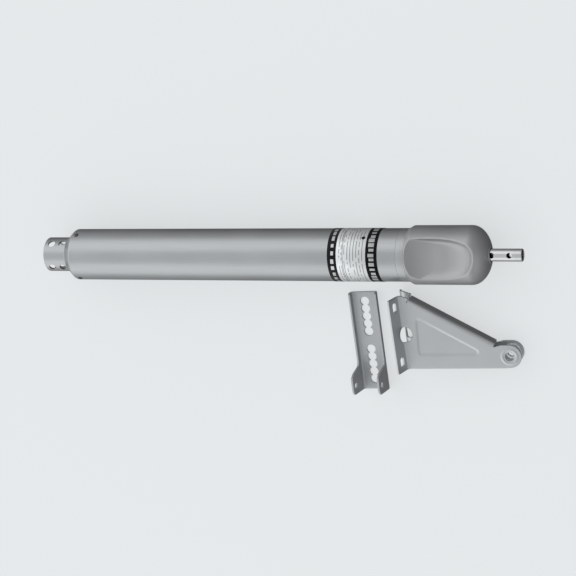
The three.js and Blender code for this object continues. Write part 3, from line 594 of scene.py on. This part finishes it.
def settle(made):
    """Turns an object's modifiers into its own mesh."""
    graph = bpy.context.evaluated_depsgraph_get()
    mesh = bpy.data.meshes.new_from_object(made.evaluated_get(graph), depsgraph=graph)
    made.modifiers.clear()
    made.data = mesh


def even_normals(made):
    """Keeps flat faces flat beside their rounded edges."""
    modifier = made.modifiers.new("normals", "WEIGHTED_NORMAL")
    modifier.keep_sharp = True
    settle(made)


def drilled(made, cutters, edge):
    """Cuts the cutters out of an object, and rounds the edges that they leave."""
    with bpy.context.temp_override(active_object=cutters[0], selected_editable_objects=cutters):
        bpy.ops.object.join()
    cutter = cutters[0]
    boolean = made.modifiers.new("holes", "BOOLEAN")
    boolean.operation = "DIFFERENCE"
    boolean.object = cutter
    bevel = made.modifiers.new("edges", "BEVEL")
    bevel.width = edge * MM
    bevel.segments = 2
    bevel.limit_method = "ANGLE"
    bevel.angle_limit = math.radians(38)
    settle(made)
    bpy.data.objects.remove(cutter)
    smooth(made, 50)
    even_normals(made)


def turned(name, outline, place, sides=96, sharp=35):
    """A closed outline of (x, radius) points, turned about the X axis."""
    outline = np.array(outline)
    angles = np.linspace(0, 2 * math.pi, sides, endpoint=False)
    rows = len(outline)
    x = np.repeat(outline[:, 0], sides)
    y = np.outer(outline[:, 1], np.sin(angles)).ravel()
    z = np.outer(outline[:, 1], np.cos(angles)).ravel()
    return mesh_object(name, np.stack([x, y, z], 1), grid_faces(rows, sides), place, sharp)


def grid_faces(rows, columns, closed_rows=True, closed_columns=True):
    faces = []
    for row in range(rows if closed_rows else rows - 1):
        below = (row + 1) % rows
        for column in range(columns if closed_columns else columns - 1):
            beside = (column + 1) % columns
            faces.append((row * columns + column, row * columns + beside,
                          below * columns + beside, below * columns + column))
    return faces


def finish_piece(made, body, slot, *nodes, look=None):
    made.data.materials.clear()
    made.data.materials.append(MATERIALS[look or slot])
    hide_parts(*nodes)
    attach(made, body)
    return made


# ------------------------------------------------------------------------------ the arm


def tube_shell():
    """The drawn tube with its swaged neck, and the neck's two columns of cross holes."""
    wall = TUBE_WALL
    bend = math.tan(math.radians(22.5)) * wall
    outline = rounded([
        (0, NECK_R - wall, 0.5), (0, NECK_R, 0.7), (SWAGE[0], NECK_R, 3), (SWAGE[1], TUBE_R, 4),
        (TUBE_END, TUBE_R, 0.2), (TUBE_END, TUBE_R - wall, 0.4),
        (SWAGE[1] + bend, TUBE_R - wall, 6), (SWAGE[0] + bend, NECK_R - wall, 6),
    ], step=9)
    shell = turned("tube_shell", outline, ARM, 144)
    cutters = []
    for x in NECK_HOLES_X:
        for angle in NECK_HOLE_ANGLES:
            drill = [(NECK_R - 9, 0), (NECK_R - 9, NECK_HOLE_R), (NECK_R + 5, NECK_HOLE_R), (NECK_R + 5, 0)]
            cutters.append(turned("drill", drill, radial(x, angle), 40))
    drilled(shell, cutters, 0.45)
    finish_piece(shell, "housing", "tube", "main_tube")


def rivet(name, x, angle, node):
    """A domed head over a short shank, which goes through the tube's wall."""
    top = TUBE_R + HEAD_HEIGHT
    outline = [(SHANK_START, 0), (SHANK_START, SHANK_R)]
    outline += rounded([(SHANK_END, SHANK_R, 0), (SHANK_END, HEAD_R, 0.3), (top - 0.5, HEAD_R - 0.5, 0.6),
                        (top, HEAD_R - 2, 1.2), (top, 0, 0)], closed=False)
    made = turned(name, outline, radial(x, angle), 32, 50)
    # The heads take the dark steel look as painted shade: their dark colour stands in for the shade that
    # falls on each head.
    finish_piece(made, "housing", "dark_steel", node)


def screw_socket(name, x, angle, node):
    """A button-headed screw with a hexagonal socket."""
    top = TUBE_R + HEAD_HEIGHT
    outline = [(SHANK_START, 0), (SHANK_START, SHANK_R)]
    outline += rounded([(SHANK_END, SHANK_R, 0), (SHANK_END, HEAD_R, 0.25), (top, HEAD_R - 1, 0.8),
                        (top, 0, 0)], closed=False)
    made = turned(name, outline, radial(x, angle), 36, 40)
    key = turned("key", [(top - 0.9, 0), (top - 0.9, 1.3), (top + 1, 1.3), (top + 1, 0)],
                 radial(x, angle), 6)
    drilled(made, [key], 0.08)
    finish_piece(made, "housing", "steel", node)


def seat_and_gland():
    """The plate that closes the tube behind the neck, and the gland where the supply cable goes in."""
    plate = turned("motor_seat_plate", rounded([
        (SEAT[0], GLAND_R + GAP, 0.3), (SEAT[0], SEAT_RING[0], 0),
        (SEAT[0] + SEAT_SUNK, SEAT_RING[0] + 1, 0), (SEAT[0] + SEAT_SUNK, SEAT_RING[1] - 1, 0),
        (SEAT[0], SEAT_RING[1], 0), (SEAT[0], INNER_R, 0.5), (SEAT[1], INNER_R, 0.5),
        (SEAT[1], GLAND_R + GAP, 0.3),
    ]), ARM, 72)
    finish_piece(plate, "housing", "zinc", "motor_seat")
    body = turned("gland_body", rounded([
        (GLAND_START, GLAND_BORE_R, 0.8), (GLAND_START, GLAND_R - 1, 1.4), (GLAND_START + 3, GLAND_R, 1.0),
        (SEAT[1] + 1.5, GLAND_R, 0.4), (SEAT[1] + 1.5, GLAND_BORE_R, 0.3),
    ]), ARM, 48)
    nut_end = SEAT[0] - GAP
    nut = turned("gland_nut", rounded([
        (nut_end - GLAND_NUT, GLAND_R, 0.2), (nut_end - GLAND_NUT, GLAND_NUT_R, 0.5),
        (nut_end, GLAND_NUT_R, 0.3), (nut_end, GLAND_R, 0.2),
    ]), ARM, 6, 30)
    finish_piece(body, "housing", "rubber", "cable_gland")
    finish_piece(nut, "housing", "rubber", "cable_gland")


def label_film():
    """The printed label, a thin film wrapped round most of the tube."""
    inner, outer = TUBE_R + 0.12, TUBE_R + 0.38
    outline = [(LABEL[0], inner), (LABEL[0], outer - 0.08), (LABEL[0] + 0.08, outer),
               (LABEL[1] - 0.08, outer), (LABEL[1], outer - 0.08), (LABEL[1], inner)]
    columns = 151
    angles = np.linspace(-LABEL_SPAN / 2, LABEL_SPAN / 2, columns)
    vertices, uvs = [], []
    for x, r in outline:
        for angle in angles:
            vertices.append((x, r * math.sin(angle), r * math.cos(angle)))
            uvs.append((x - LABEL[0], outer * angle))
    rows = len(outline)
    faces = grid_faces(rows, columns, closed_columns=False)
    faces.append([row * columns for row in range(rows)])
    faces.append([row * columns + columns - 1 for row in reversed(range(rows))])
    film = mesh_object("label_film", vertices, faces, ARM, 50, uvs)
    finish_piece(film, "housing", "label", "label")


def collar_ring():
    """The thin ring between the tube and the cap, flush with the tube."""
    start, end = TUBE_END + 0.1, CAP_RIM - 0.2
    outer = TUBE_R + 0.03
    ring = turned("collar_ring", rounded([
        (start, INNER_R + GAP, 0.2), (start, outer, 0.15), (end, outer, 0.3), (end, INNER_R + GAP, 0.2),
    ]), ARM, 144)
    finish_piece(ring, "housing", "collar", "cap_collar")


def curve_points(start, *controls, steps=10):
    """A Bezier curve from start through its controls to the last one, without the first point."""
    line = [np.array(p, float) for p in (start, *controls)]
    degree = len(line) - 1
    points = []
    for t in np.linspace(0, 1, steps + 1)[1:]:
        points.append(sum(math.comb(degree, k) * (1 - t) ** (degree - k) * t**k * p
                          for k, p in enumerate(line)))
    return points


def recess_outline():
    """The scoop's outline as seen from over the cap: wide at the rim, narrowing to a rounded tip."""
    start = RECESS_START
    end = start + RECESS_LENGTH
    half = RECESS_HALF_WIDTH
    side = [np.array((start, 0.0)), np.array((start, half - 15))]
    side += curve_points(side[-1], (start, half - 1.5), (start + 14, half - 1))
    side += curve_points(side[-1], (start + 36, half + 1), (start + 62, half - 1), steps=14)
    side += curve_points(side[-1], (start + 88, half - 4), (end, half - 10), (end, 0), steps=20)
    other = [point * (1, -RECESS_LOWER) for point in side[-2:0:-1]]
    return np.array(side + other)


def by_steepness(points):
    """Scoop points stretched so that the same step inwards goes down by the same amount on every side."""
    ends, upper, lower = RECESS_SLOPES
    sideways = np.where(points[:, 1] > 0, upper, lower)
    return points * np.stack([np.full(len(points), ends), sideways], 1)


def distance_into(outline, points):
    """How deep points lie inside a closed outline, and below 0 how far outside."""
    following = np.roll(outline, -1, 0)
    along = following - outline
    nearest = np.full(len(points), 1e9)
    inside = np.zeros(len(points), bool)
    for a, b, d in zip(outline, following, along):
        share = np.clip(((points - a) @ d) / (d @ d), 0, 1)
        nearest = np.minimum(nearest, np.linalg.norm(points - a - share[:, None] * d, axis=1))
        crosses = (a[1] > points[:, 1]) != (b[1] > points[:, 1])
        with np.errstate(divide="ignore", invalid="ignore"):
            reach = a[0] + (points[:, 1] - a[1]) * d[0] / d[1]
        inside ^= crosses & (points[:, 0] < reach)
    return np.where(inside, nearest, -nearest)


def scoop_height(x, y):
    """The height of the scoop's surface over the arm's axis, which runs away upwards outside it."""
    depth = distance_into(by_steepness(recess_outline()), by_steepness(np.stack([x, y], 1)))
    inner = np.clip(RECESS_BEND - depth, 0, RECESS_BEND)
    floor = RECESS_FLOOR + RECESS_BEND - np.sqrt(RECESS_BEND**2 - inner**2)
    return np.where(depth < 0, RECESS_FLOOR + RECESS_BEND - 6.0 * depth, floor)


def blurred(field, times):
    """A field on a grid, closed round its columns, averaged with its neighbours."""
    for _ in range(times):
        field = (np.roll(field, 1, 1) + 2 * field + np.roll(field, -1, 1)) / 4
        padded = np.pad(field, ((1, 1), (0, 0)), mode="edge")
        field = (padded[:-2] + 2 * field + padded[2:]) / 4
    return field


def cap_shell():
    """The domed cap: a turned shell whose two scoops are pressed in from above and from below."""
    skin = rounded([(CAP_RIM, TUBE_R + 0.4, 0), (CAP_SHOULDER, CAP_R, 5), (DOME_START, CAP_R, 0)],
                   step=4, closed=False)
    mouth = math.acos(DOME_MOUTH_R / CAP_R)
    dome_end = DOME_TIP - DOME_LIP
    reach = (dome_end - DOME_START) / math.sin(mouth)
    dome = [(DOME_START + reach * math.sin(t), CAP_R * math.cos(t)) for t in np.linspace(0, mouth, 30)[1:]]
    outer = np.vstack([spaced(skin, 0.6), dome])
    bush_stop = BUSH_END + BUSH_STOP
    inner = rounded([
        (CAP_RIM, TUBE_R + 0.4, 0), (dome_end, DOME_MOUTH_R, 0), (DOME_TIP, DOME_MOUTH_R - 0.5, 0.5),
        (DOME_TIP, ROD_R + 0.8, 0.5), (bush_stop, ROD_R + 0.8, 0), (bush_stop, BUSH_R + GAP, 0),
        (THROAT[1], BUSH_R + GAP, 0), (THROAT[0], THROAT_R, 0), (CAP_SPIGOT, THROAT_R, 0.3),
        (CAP_SPIGOT, INNER_R, 0.5), (CAP_RIM, INNER_R, 0),
    ])[2:]
    profile = np.vstack([outer, inner])
    sides = 288
    angles = np.linspace(0, 2 * math.pi, sides, endpoint=False)
    rows = len(profile)
    x = np.repeat(profile[:, 0], sides).reshape(rows, sides)
    y = np.outer(profile[:, 1], np.sin(angles))
    z = np.outer(profile[:, 1], np.cos(angles))
    skin_rows = len(outer)
    sx, sy, sz = x[:skin_rows], y[:skin_rows], z[:skin_rows]
    surface = scoop_height(sx.ravel(), sy.ravel()).reshape(sx.shape)
    pressed = np.maximum(np.abs(sz) - surface, 0)
    pressed[0] = 0
    z[:skin_rows] -= np.sign(sz) * blurred(pressed, 2)
    cap = mesh_object("cap_shell", np.stack([x.ravel(), y.ravel(), z.ravel()], 1),
                      grid_faces(rows, sides), ARM, 50)
    finish_piece(cap, "housing", "cap", "end_cap")


def spaced(line, step):
    """An open line with points added so that no part is longer than step."""
    points = [np.array(line[0])]
    for a, b in zip(line, line[1:]):
        parts = max(1, math.ceil(np.linalg.norm(np.array(b) - a) / step))
        points += [a + (np.array(b) - a) * k / parts for k in range(1, parts + 1)]
    return np.array(points)


def push_rod():
    """The chromed push rod, a thick tube with two cross holes near its end."""
    rod = turned("rod_tube", rounded([
        (ROD_START, ROD_BORE_R, 0.3), (ROD_START, ROD_R, 0.3), (ROD_END, ROD_R, 0.9),
        (ROD_END, ROD_BORE_R, 0.6),
    ]), ARM, 96)
    cutters = []
    for x in ROD_HOLES_X:
        drill = [(-14, 0), (-14, ROD_HOLE_R), (14, ROD_HOLE_R), (14, 0)]
        cutters.append(turned("drill", drill, radial(x, 0), 40))
    drilled(rod, cutters, 0.35)
    finish_piece(rod, "rod", "chrome", "push_rod")


# ------------------------------------------------------------------------------ stamped brackets


def inset(loop, amount):
    """A closed loop moved towards its left side, where the plate is."""
    ahead = np.roll(loop, -1, 0) - loop
    ahead /= np.linalg.norm(ahead, axis=1)[:, None]
    left = np.stack([-ahead[:, 1], ahead[:, 0]], 1)
    middle = left + np.roll(left, 1, 0)
    middle /= np.linalg.norm(middle, axis=1)[:, None]
    reach = amount / np.maximum((middle * left).sum(1), 0.5)
    return loop + middle * reach[:, None]


def plate_depth(loops, points):
    """How deep points lie inside the first loop and outside the others, and below 0 off the plate."""
    depths = [distance_into(loops[0], points)]
    depths += [-distance_into(loop, points) for loop in loops[1:]]
    return np.min(depths, 0)


def flat_triangles(loops, spacing):
    """Points and triangles of a flat plate inside its first loop and outside the others."""
    rim = np.vstack(loops)
    low, high = loops[0].min(0), loops[0].max(0)
    columns = np.arange(low[0] + spacing / 2, high[0], spacing)
    rows = np.arange(low[1] + spacing / 2, high[1], spacing)
    grid = np.stack(np.meshgrid(columns, rows), -1).reshape(-1, 2)
    grid = grid[plate_depth(loops, grid) > 0.55 * spacing]
    points = np.vstack([rim, grid])
    edges, start = [], 0
    for loop in loops:
        count = len(loop)
        edges += [(start + i, start + (i + 1) % count) for i in range(count)]
        start += count
    corners = [Vector(p) for p in points]
    made, _, faces, origin, _, _ = delaunay_2d_cdt(corners, edges, [], 1, 1e-6)
    index = [o[0] for o in origin]
    faces = np.array([[index[i] for i in face] for face in faces])
    middles = points[faces].mean(1)
    return points, faces[plate_depth(loops, middles) > 0]


EDGE = 0.5                          # radius of a stamped plate's edges
EDGE_STEPS = 3


def stamped(name, loops, fold, spacing):
    """A plate of even thickness with rounded edges, cut to loops and folded.

    fold takes flat points and heights over the plate's middle, and gives their places."""
    loops = [filled_in(loop, spacing) for loop in loops]
    turns = np.linspace(0, math.pi / 2, EDGE_STEPS)
    levels = [(EDGE * (1 - math.sin(t)), PLATE / 2 - EDGE * (1 - math.cos(t))) for t in turns]
    levels += [(amount, -height) for amount, height in reversed(levels)]
    flat, triangles = flat_triangles([inset(loop, EDGE) for loop in loops], spacing)
    count = len(flat)
    rim_count = sum(len(loop) for loop in loops)
    points, heights = [flat, flat], [np.full(count, PLATE / 2), np.full(count, -PLATE / 2)]
    faces = [tuple(t) for t in triangles] + [tuple(t[::-1] + count) for t in triangles]
    starts = [0]
    for amount, height in levels[1:-1]:
        starts.append(sum(len(p) for p in points))
        points.append(np.vstack([inset(loop, amount) for loop in loops]))
        heights.append(np.full(rim_count, height))
    starts.append(count)
    for upper, lower in zip(starts, starts[1:]):
        offset = 0
        for loop in loops:
            for i in range(len(loop)):
                a, b = offset + i, offset + (i + 1) % len(loop)
                faces.append((upper + a, lower + a, lower + b, upper + b))
            offset += len(loop)
    places = fold(np.vstack(points), np.concatenate(heights))
    return mesh_object(name, places, faces, Matrix.Scale(MM, 4), 60)


def settle_on(made, node):
    """Moves a piece so that the middle of its box is the middle of the CAD node's box."""
    low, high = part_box(node)
    corners = np.array([v.co for v in made.data.vertices])
    middle = Vector((corners.min(0) + corners.max(0)) / 2)
    made.data.transform(Matrix.Translation((low + high) / 2 - middle))


def scalloped_slot(start):
    """A slot of overlapping round holes, with the plate on the left of its line."""
    first = SLOT_WEB[1] / 2 - start - SLOT_HOLE_R
    cusp = math.degrees(math.asin(SLOT_HOLE_PITCH / 2 / SLOT_HOLE_R))
    last = SLOT_HOLES - 1
    points = []
    for i in range(SLOT_HOLES):
        top = 90 if i == 0 else cusp
        bottom = -90 if i == last else -cusp
        lobe = arc((0, first - i * SLOT_HOLE_PITCH), SLOT_HOLE_R, top, bottom, 13)
        points += lobe if i == last else lobe[:-1]
    left = [point * (-1, 1) for point in points[-2:0:-1]]
    return np.array(points + left)


def circle(centre, radius, steps):
    """A round hole's loop, with the plate on its left."""
    return np.array(arc(centre, radius, 360, 0, steps)[:-1])


def slotted_bracket():
    """A folded channel with two scalloped slots in its web and an ear at one end of each side."""
    bend = SLOT_BEND_R
    web_half = SLOT_WEB[0] / 2 - PLATE / 2
    flat_half = web_half - bend
    quarter = bend * math.pi / 2
    side_start = flat_half + quarter

    def over_floor(height):
        """The flat distance from the web's middle line to a height on the side."""
        return side_start + height - PLATE / 2 - bend

    lip, ear = over_floor(SLOT_LIP), over_floor(SLOT_EAR[1])
    end = -SLOT_WEB[1] / 2
    side = [
        (0, end, 0), (over_floor(3), end, 2), (ear - 5, end + 4, 4), (ear, end + 10, 4),
        (ear, end + SLOT_EAR[0] - 4, 4), (ear - 9, end + SLOT_EAR[0] + 1, 5),
        (lip + 2, end + SLOT_EAR[0] + 5, 7), (lip, end + SLOT_EAR[0] + 12, 6), (lip, -end, 3), (0, -end, 0),
    ]
    outline = side[1:-1] + [(-u, v, r) for u, v, r in side[-2:0:-1]]
    loops = [np.array(rounded(outline))]
    loops += [scalloped_slot(start) for start in SLOT_STARTS]
    hole = over_floor(SLOT_EAR_HOLE[1])
    loops += [circle((s * hole, end + SLOT_EAR_HOLE[0]), SLOT_EAR_HOLE_R, 32) for s in (1, -1)]

    def fold(points, heights):
        u, v = points[:, 0], points[:, 1]
        turn = np.clip((np.abs(u) - flat_half) / bend, 0, math.pi / 2)
        rise = np.maximum(np.abs(u) - side_start, 0)
        across = np.minimum(np.abs(u), flat_half) + bend * np.sin(turn) - heights * np.sin(turn)
        z = PLATE / 2 + bend * (1 - np.cos(turn)) + rise + heights * np.cos(turn)
        to_end = SLOT_WEB[1] / 2 - np.abs(v)
        dished = WEB_DISH * np.clip(1 - (u / flat_half) ** 2, 0, 1) * np.clip(to_end / 12, 0, 1)
        z = z + np.where(heights > 0, -dished, 0.0)
        x = np.sign(u) * across
        c, s = math.cos(SLOT_TURN), math.sin(SLOT_TURN)
        return np.stack([c * x - s * v, s * x + c * v, z], 1)

    made = stamped("slotted_channel", loops, fold, 1.4)
    even_normals(made)
    settle_on(made, "slotted_bracket")
    finish_piece(made, "slotted", "bracket", "slotted_bracket", look="channel")


FOLD_ALONG = np.array((-math.sin(FOLD_LEAN), math.cos(FOLD_LEAN)))
FOLD_ACROSS = np.array((math.cos(FOLD_LEAN), math.sin(FOLD_LEAN)))
SLANT_VECTOR = np.array(SLANT[1]) - np.array(SLANT[0])
SLANT_LENGTH = np.linalg.norm(SLANT_VECTOR)
SLANT_ALONG = SLANT_VECTOR / SLANT_LENGTH
SLANT_OUT = np.array((-SLANT_ALONG[1], SLANT_ALONG[0]))
SLANT_LINE = float(SLANT_OUT @ np.array(SLANT[0]))

# The flange's bend, in the plane square to the fold: it starts and ends a tangent's length from the
# corner where the middles of the two plates would meet.
FLANGE_TURN = math.pi / 2 - FLANGE_LEAN
FLANGE_TANGENT = FLANGE_BEND_R * math.tan(FLANGE_TURN / 2)
FLANGE_ROOT = PLATE / 2 / math.cos(FLANGE_LEAN) + PLATE / 2 * math.tan(FLANGE_LEAN)
FLANGE_CORNER = -FLANGE_ROOT
FLANGE_START = FLANGE_CORNER + FLANGE_TANGENT
FLANGE_ARC = FLANGE_BEND_R * FLANGE_TURN

STRIP_ARC = 9.5                     # drawn wide in the flat, so that the two forks stay apart there
STRIP_START = SLANT_LINE - PLATE / 2 - STRIP_BEND_R
STRIP_MIDDLE = STRIP_START + STRIP_ARC + CHEEK_MIDDLE - STRIP_BEND_R
STRIP_ENDS = (1.9, SLANT_LENGTH)
RELIEF = STRIP_START - 0.3


def on_fold(p, t):
    return tuple(p * FOLD_ACROSS + t * FOLD_ALONG)


def on_slant(s, out):
    return tuple(np.array(SLANT[0]) + s * SLANT_ALONG + (out - SLANT_LINE) * SLANT_OUT)


def flange_flat(s):
    """The flat distance, left of the fold, of a point s up the flange from its root."""
    return FLANGE_START - FLANGE_ARC - (s - PLATE / 2 - FLANGE_TANGENT)


def half_outline(flange_width):
    """Half of the flat plate, from the strip's upper end round the flange and the fork to its lower end."""
    edge = flange_flat(flange_width)
    corners = [
        (*on_slant(STRIP_ENDS[0], RELIEF), 0.4), (*on_slant(1.0, RELIEF), 0.4),
        (*on_slant(0.7, SLANT_LINE + 0.6), 1), (*on_fold(0.5, FOLD_HEIGHT - 0.5), 3),
        (*on_fold(edge, FOLD_HEIGHT), 3.5), (*on_fold(edge, 0), 3.5), (*on_fold(0, 0), 3),
    ]
    fork = arc(FORK_HOLE, FORK_R, -86, 86, 24)
    corners += [(FORK_HOLE[0] - 8, 0, 6)] + [(*p, 0) for p in fork]
    corners += [(136, 34.6, 5), (*on_slant(STRIP_ENDS[1], RELIEF), 1.2)]
    return corners


def mirrored_flat(points):
    """Flat points on the other side of the strip's middle line."""
    over = points @ SLANT_OUT - STRIP_MIDDLE
    return points - 2 * over[:, None] * SLANT_OUT


def pressed_depth(flat):
    """How deep the cheek is pressed in at flat points: the triangle, and the ring round the fork's hole."""
    depth = distance_into(np.array(rounded([(*c, 4) for c in PRESSED])), flat)
    triangle = 1.1 * np.clip(0.5 + depth / 2.2, 0, 1)
    r = np.linalg.norm(flat - FORK_HOLE, axis=1)
    ring = 0.9 * np.clip((12.4 - r) / 1.2, 0, 1) * np.clip((r - 8.6) / 1.2, 0, 1)
    return ring - triangle


def triangular_bracket():
    """One stamped plate: two cheeks joined by the strip over their slanted edge, and two flanges."""
    near = half_outline(FLANGE_WIDTHS["near"])
    far = half_outline(FLANGE_WIDTHS["far"])
    other = mirrored_flat(np.array([c[:2] for c in far]))
    outline = near + [(*p, c[2]) for p, c in zip(other[::-1], far[::-1])]
    loops = [np.array(rounded(outline))]
    middle = (FOLD_HOLE_R + flange_flat(FOLD_HOLE_R)) / 2
    half = (FOLD_HOLE_R - flange_flat(FOLD_HOLE_R)) / 2
    fold_hole = circle((0, 0), FOLD_HOLE_R, 44)
    fold_hole = np.array([on_fold(middle + p * half / FOLD_HOLE_R, FOLD_HOLE_T + t) for p, t in fold_hole])
    holes = [circle(FORK_HOLE, FORK_HOLE_R, 36), fold_hole]
    loops += holes + [mirrored_flat(hole)[::-1] for hole in holes]
    s = flange_flat(FLANGE_SLOT_S)
    for t in FLANGE_SLOTS_T:
        slot = arc((0, 2.5), 4.5, 180, 0, 12) + arc((0, -2.5), 4.5, 0, -180, 12)
        loops.append(np.array([on_fold(s + p[0], t + p[1]) for p in slot]))

    def fold(points, heights):
        beyond = points @ SLANT_OUT > STRIP_MIDDLE
        flat = np.where(beyond[:, None], mirrored_flat(points), points)
        heights = heights + pressed_depth(flat)
        out, s = flat @ SLANT_OUT - STRIP_START, (flat - SLANT[0]) @ SLANT_ALONG
        on_strip = (out > 0) & (s > STRIP_ENDS[0] - 0.6) & (s < STRIP_ENDS[1] + 0.6)
        p, t = flat @ FOLD_ACROSS, flat @ FOLD_ALONG
        on_flange = (p < FLANGE_START) & ~on_strip

        turn = np.clip(out / STRIP_ARC, 0, 1) * math.pi / 2
        past = np.maximum(out - STRIP_ARC, 0)
        reach = (STRIP_BEND_R + heights) * np.sin(turn) + STRIP_START
        strip_xy = flat + (reach - flat @ SLANT_OUT)[:, None] * SLANT_OUT
        strip_z = CHEEK_MIDDLE - STRIP_BEND_R + (STRIP_BEND_R + heights) * np.cos(turn) - past

        q = FLANGE_START - p
        turn = np.clip(q / FLANGE_BEND_R, 0, FLANGE_TURN)
        past = np.maximum(q - FLANGE_ARC, 0)
        radius = FLANGE_BEND_R - heights
        flange_p = FLANGE_START - radius * np.sin(turn) - past * math.sin(FLANGE_LEAN)
        flange_z = CHEEK_MIDDLE + FLANGE_BEND_R - radius * np.cos(turn) + past * math.cos(FLANGE_LEAN)
        flange_xy = flange_p[:, None] * FOLD_ACROSS + t[:, None] * FOLD_ALONG

        xy = np.where(on_strip[:, None], strip_xy, np.where(on_flange[:, None], flange_xy, flat))
        z = np.where(on_strip, strip_z, np.where(on_flange, flange_z, CHEEK_MIDDLE + heights))
        z = np.where(beyond, -z, z)
        c, s = math.cos(TRI_TILT), math.sin(TRI_TILT)
        return np.stack([c * xy[:, 0] + s * z, xy[:, 1], c * z - s * xy[:, 0]], 1)

    made = stamped("triangular_plate", loops, fold, 1.35)
    even_normals(made)
    settle_on(made, "triangular_bracket")
    finish_piece(made, "triangular", "bracket", "triangular_bracket")


# ------------------------------------------------------------------------------ the rest of the model


def dress_cad_nodes():
    """Gives each CAD node the look of its slot in the record."""
    slots = {part["node"]: part["material_slot"] for part in frame["record"]["subparts"]}
    for name, node in frame["nodes"].items():
        node.data.materials.clear()
        node.data.materials.append(MATERIALS[slots[name]])


make_camera()
make_floor()
make_lights()
make_world()
bpy.context.scene.view_settings.view_transform = "Standard"
MATERIALS = make_materials()
dress_cad_nodes()
tube_shell()
for number, angle in enumerate(RIVET_ANGLES, 1):
    rivet(f"seat_rivet_head_{number}", RIVET_X, angle, f"seat_rivet_{number}")
for number, angle in enumerate(CAP_SCREW_ANGLES, 1):
    screw_socket(f"cap_screw_head_{number}", CAP_SCREW_X, angle, f"cap_screw_{number}")
seat_and_gland()
label_film()
collar_ring()
cap_shell()
push_rod()
slotted_bracket()
triangular_bracket()
